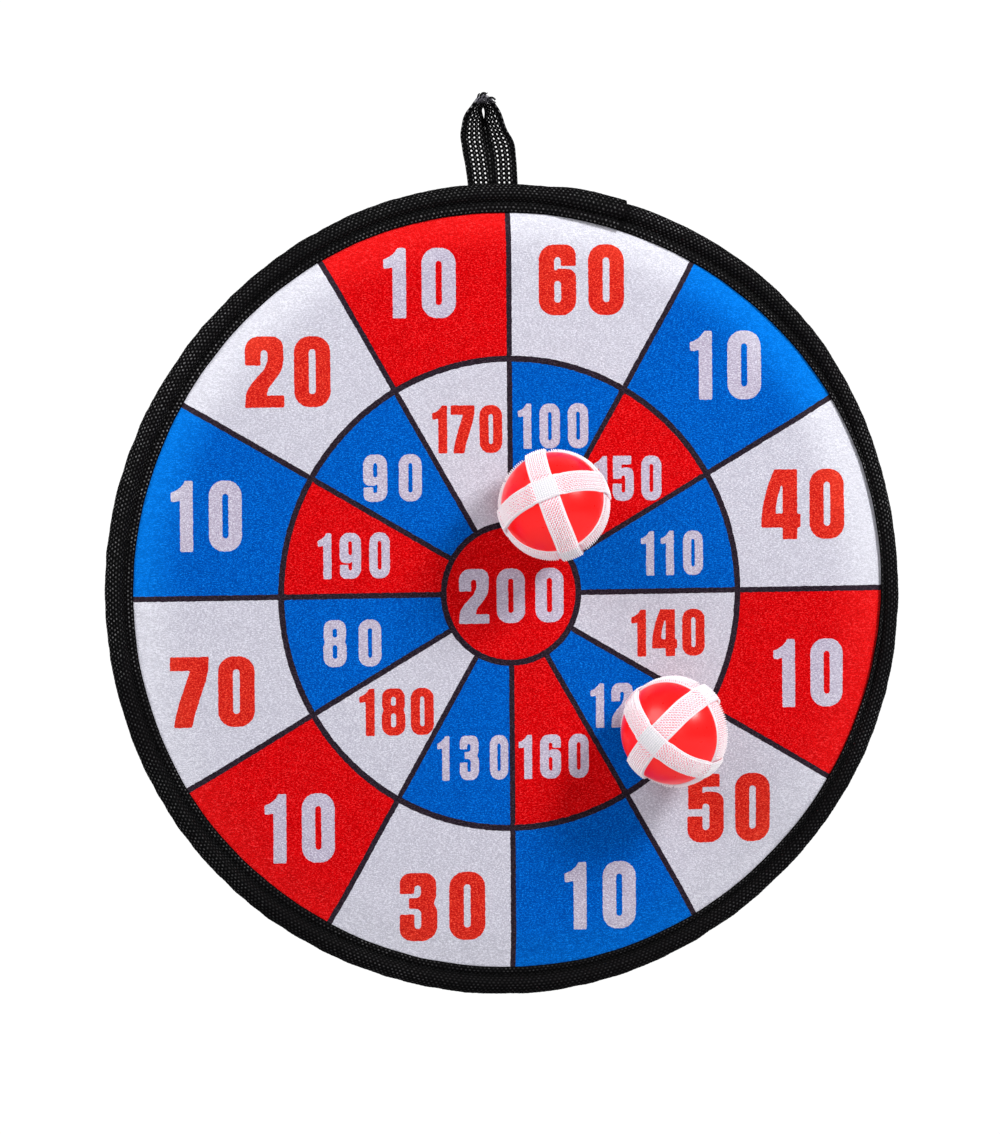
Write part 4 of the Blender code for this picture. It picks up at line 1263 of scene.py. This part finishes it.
def hook_strip(name, u, v, above, below, centre, seed, worn=False):
    """One strip of hook tape: a woven ground with smooth selvages, and rows of nylon hooks that
    lean alternate ways, row by row."""
    r = np.random.default_rng(seed)
    w = np.cross(u, v)
    start, end = BUTT_ANGLE + 0.5 * BUTT_GAP, BUTT_ANGLE + 360.0 - 0.5 * BUTT_GAP
    steps = 300
    phi = np.linspace(start, end, steps)
    low, high = strip_levels(phi, above, below)
    stray = 0.10 * np.sin(np.radians(phi) * 3 + seed) + 0.06 * np.sin(np.radians(phi) * 7 + 2 * seed)
    half = 0.5 * STRIP_W
    thick = np.minimum(0.40, high - low - 0.04)
    shape = [(-half, 0.10), (-half + 0.05, 0.0), (-1.9, 0.0), (0.0, 0.0), (1.9, 0.0), (half - 0.05, 0.0), (half, 0.10),
             (half, 0.70), (half - 0.10, 0.95), (half - 0.38, 1.0), (half - 0.55, 0.86), (half - 1.2, 0.86), (1.3, 0.86),
             (0.0, 0.86), (-1.3, 0.86), (-half + 1.2, 0.86), (-half + 0.55, 0.86), (-half + 0.38, 1.0),
             (-half + 0.10, 0.95), (-half, 0.70)]
    direction = np.cos(np.radians(phi))[:, None] * u + np.sin(np.radians(phi))[:, None] * v
    weave = 0.012 * np.sin(np.radians(phi) * 19.0 / 0.39 * 0.5)
    ring = []
    for s, h in shape:
        rad = low + thick * h + (weave if h > 0.5 else 0.0) - hugged(s)
        ring.append(direction * rad[:, None] + w * (s + stray)[:, None])
    ring = np.stack(ring, 1)
    cols = len(shape)
    faces = grid_faces(steps, cols, False, True).tolist()
    faces.append(list(range(cols))[::-1])
    faces.append([(steps - 1) * cols + i for i in range(cols)])
    run = np.radians(phi) * 18.8
    uv = np.stack([np.repeat(run, cols), np.tile([s for s, _ in shape], steps)], -1)
    points = [ring.reshape(-1, 3) + centre]
    uvs = [uv]
    doubled = np.zeros(steps, bool)
    for c in above:
        doubled |= np.abs((phi - c + 180.0) % 360.0 - 180.0) < 12.4
    slots = [2 if doubled[i] else 0 for i in range(steps - 1) for _ in range(cols)] + [0, 0]
    base = steps * cols

    # hooks
    rows = np.linspace(-half + 0.62, half - 0.62, 10)
    pitch = math.degrees(0.78 / 19.0)
    outline = np.array([(-0.08, 0.0), (-0.07, 0.45), (-0.03, 0.80), (0.04, 1.0), (0.12, 0.93), (0.17, 0.70)])
    size = np.array([(0.11, 0.25), (0.10, 0.24), (0.10, 0.22), (0.09, 0.20), (0.08, 0.18), (0.06, 0.14)])
    spots = []
    for m, s in enumerate(rows):
        at = np.arange(start + 0.8, end - 0.8, pitch)
        for t in at:
            if any(abs((t - c + 180.0) % 360.0 - 180.0) < 13.4 for c in below):
                continue
            spots.append((t, s, 1.0 if m % 2 else -1.0))
    spots = np.array(spots)
    spots[:, 0] += r.normal(0, 0.13, len(spots))
    spots[:, 1] += r.normal(0, 0.035, len(spots))
    lo, hi = strip_levels(spots[:, 0], above, below)
    foot = lo + np.minimum(0.40, hi - lo - 0.04) * 0.88
    rise = np.maximum(hi - foot, 0.08) * r.uniform(0.93, 1.04, len(spots))
    st = 0.10 * np.sin(np.radians(spots[:, 0]) * 3 + seed) + 0.06 * np.sin(np.radians(spots[:, 0]) * 7 + 2 * seed)
    out = np.cos(np.radians(spots[:, 0]))[:, None] * u + np.sin(np.radians(spots[:, 0]))[:, None] * v
    if worn:
        # hooks on the board's side have been pressed into its pile and lie flatter
        rise = rise * (1.0 - 0.66 * smooth((out[:, 1] + w[1] * spots[:, 1] / SHELL_R - 0.01) / 0.10))
    fwd = (-np.sin(np.radians(spots[:, 0]))[:, None] * u + np.cos(np.radians(spots[:, 0]))[:, None] * v) * spots[:, 2:3]
    origin = out * (foot - hugged(spots[:, 1]))[:, None] + w * (spots[:, 1] + st)[:, None]
    skew = r.normal(0, 0.16, len(spots))[:, None]
    corner = np.array([(-1, -1), (1, -1), (1, 1), (-1, 1)])
    bend = np.gradient(outline * [1.0, 0.5], axis=0)
    bend /= np.linalg.norm(bend, axis=1)[:, None]
    hooks = []
    for k in range(len(outline)):
        mid = origin + fwd * outline[k, 0] + out * (outline[k, 1] * rise)[:, None] + w * skew * outline[k, 0]
        # the section turns with the hook: its depth lies across the bend
        n_f, n_o = bend[k, 1], -bend[k, 0]
        for cx, cy in corner:
            hooks.append(mid + (fwd * n_f + out * n_o) * (cx * size[k, 0] * 0.8) + w * (cy * size[k, 1] * 0.8))
    hooks = np.stack(hooks, 1)
    per = hooks.shape[1]
    template = []
    for k in range(len(outline) - 1):
        for c in range(4):
            template.append([4 * k + c, 4 * k + (c + 1) % 4, 4 * k + 4 + (c + 1) % 4, 4 * k + 4 + c])
    template.append([4 * (len(outline) - 1) + c for c in range(4)])
    template.append([3, 2, 1, 0])
    template = np.array(template)
    more = (template[None] + (np.arange(len(spots)) * per)[:, None, None] + base).reshape(-1, 4)
    faces += more.tolist()
    slots += [1] * len(more)
    points.append(hooks.reshape(-1, 3) + centre)
    uvs.append(np.zeros((len(spots) * per, 2)))
    obj = piece(name, np.concatenate(points), faces, [TAPE_GROUND, HOOKS, TAPE_DOUBLE], slots, uv=np.concatenate(uvs))
    bm = bmesh.new()
    bm.from_mesh(obj.data)
    bmesh.ops.recalc_face_normals(bm, faces=bm.faces)
    bm.to_mesh(obj.data)
    bm.free()
    return obj


for number, (ball, (centre, first, second)) in enumerate(BALLS.items()):
    e1 = Vector(first).normalized()
    e3 = Vector(second)
    e3 = (e3 - e1 * e3.dot(e1)).normalized()
    e2 = e1.cross(e3)
    X, Y, Z = np.array(e3), np.array(e2), np.array(e1)
    axes, middle = np.array([X, Y, Z]), np.array(centre)
    for part, sign in (("front_shell", 1.0), ("rear_shell", -1.0)):
        obj = shell_half(ball + "_" + part + "_moulding", sign, axes, middle)
        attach(obj, ball)
        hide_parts(ball + "_" + part)
    for part, u, v, above, below in (
        ("inner_strip", X, Y, [], [0.0, 90.0, 180.0, 270.0]),
        ("middle_strip", Z, X, [90.0, 270.0], [0.0, 180.0]),
        ("outer_strip", Z, Y, [0.0, 90.0, 180.0, 270.0], []),
    ):
        obj = hook_strip(ball + "_" + part + "_tape", u, v, above, below, middle, 70 + 10 * number + len(part), ball == "ball_b")
        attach(obj, ball)
        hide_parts(ball + "_" + part)

floor_material = Nodes("pale_floor")
grain = floor_material.noise(floor_material.place((0.004, 0.004, 0.004)), 1.0, 2.0, 0.5)
floor_material.set(Base_Color=floor_material.mix(grain, (0.50, 0.50, 0.51), (0.56, 0.56, 0.57)), Roughness=0.8)
floor_seen = floor_material.node("ShaderNodeEmission", (1.0, 1.0, 1.0, 1.0), 1.05)
floor_path = floor_material.node("ShaderNodeLightPath")
floor_mix = floor_material.node(
    "ShaderNodeMixShader", floor_path.outputs["Is Camera Ray"], None, None,
)
floor_material.tree.links.new(floor_material.shader.outputs[0], floor_mix.inputs[1])
floor_material.tree.links.new(floor_seen.outputs[0], floor_mix.inputs[2])
floor_material.tree.links.new(floor_mix.outputs[0], floor_material.out.inputs[0])
floor = piece(
    "studio_floor", [(-9000, -9000, -212), (9000, -9000, -212), (9000, 16000, -212), (-9000, 16000, -212)],
    [[0, 1, 2, 3]], floor_material.material, soft=False,
)
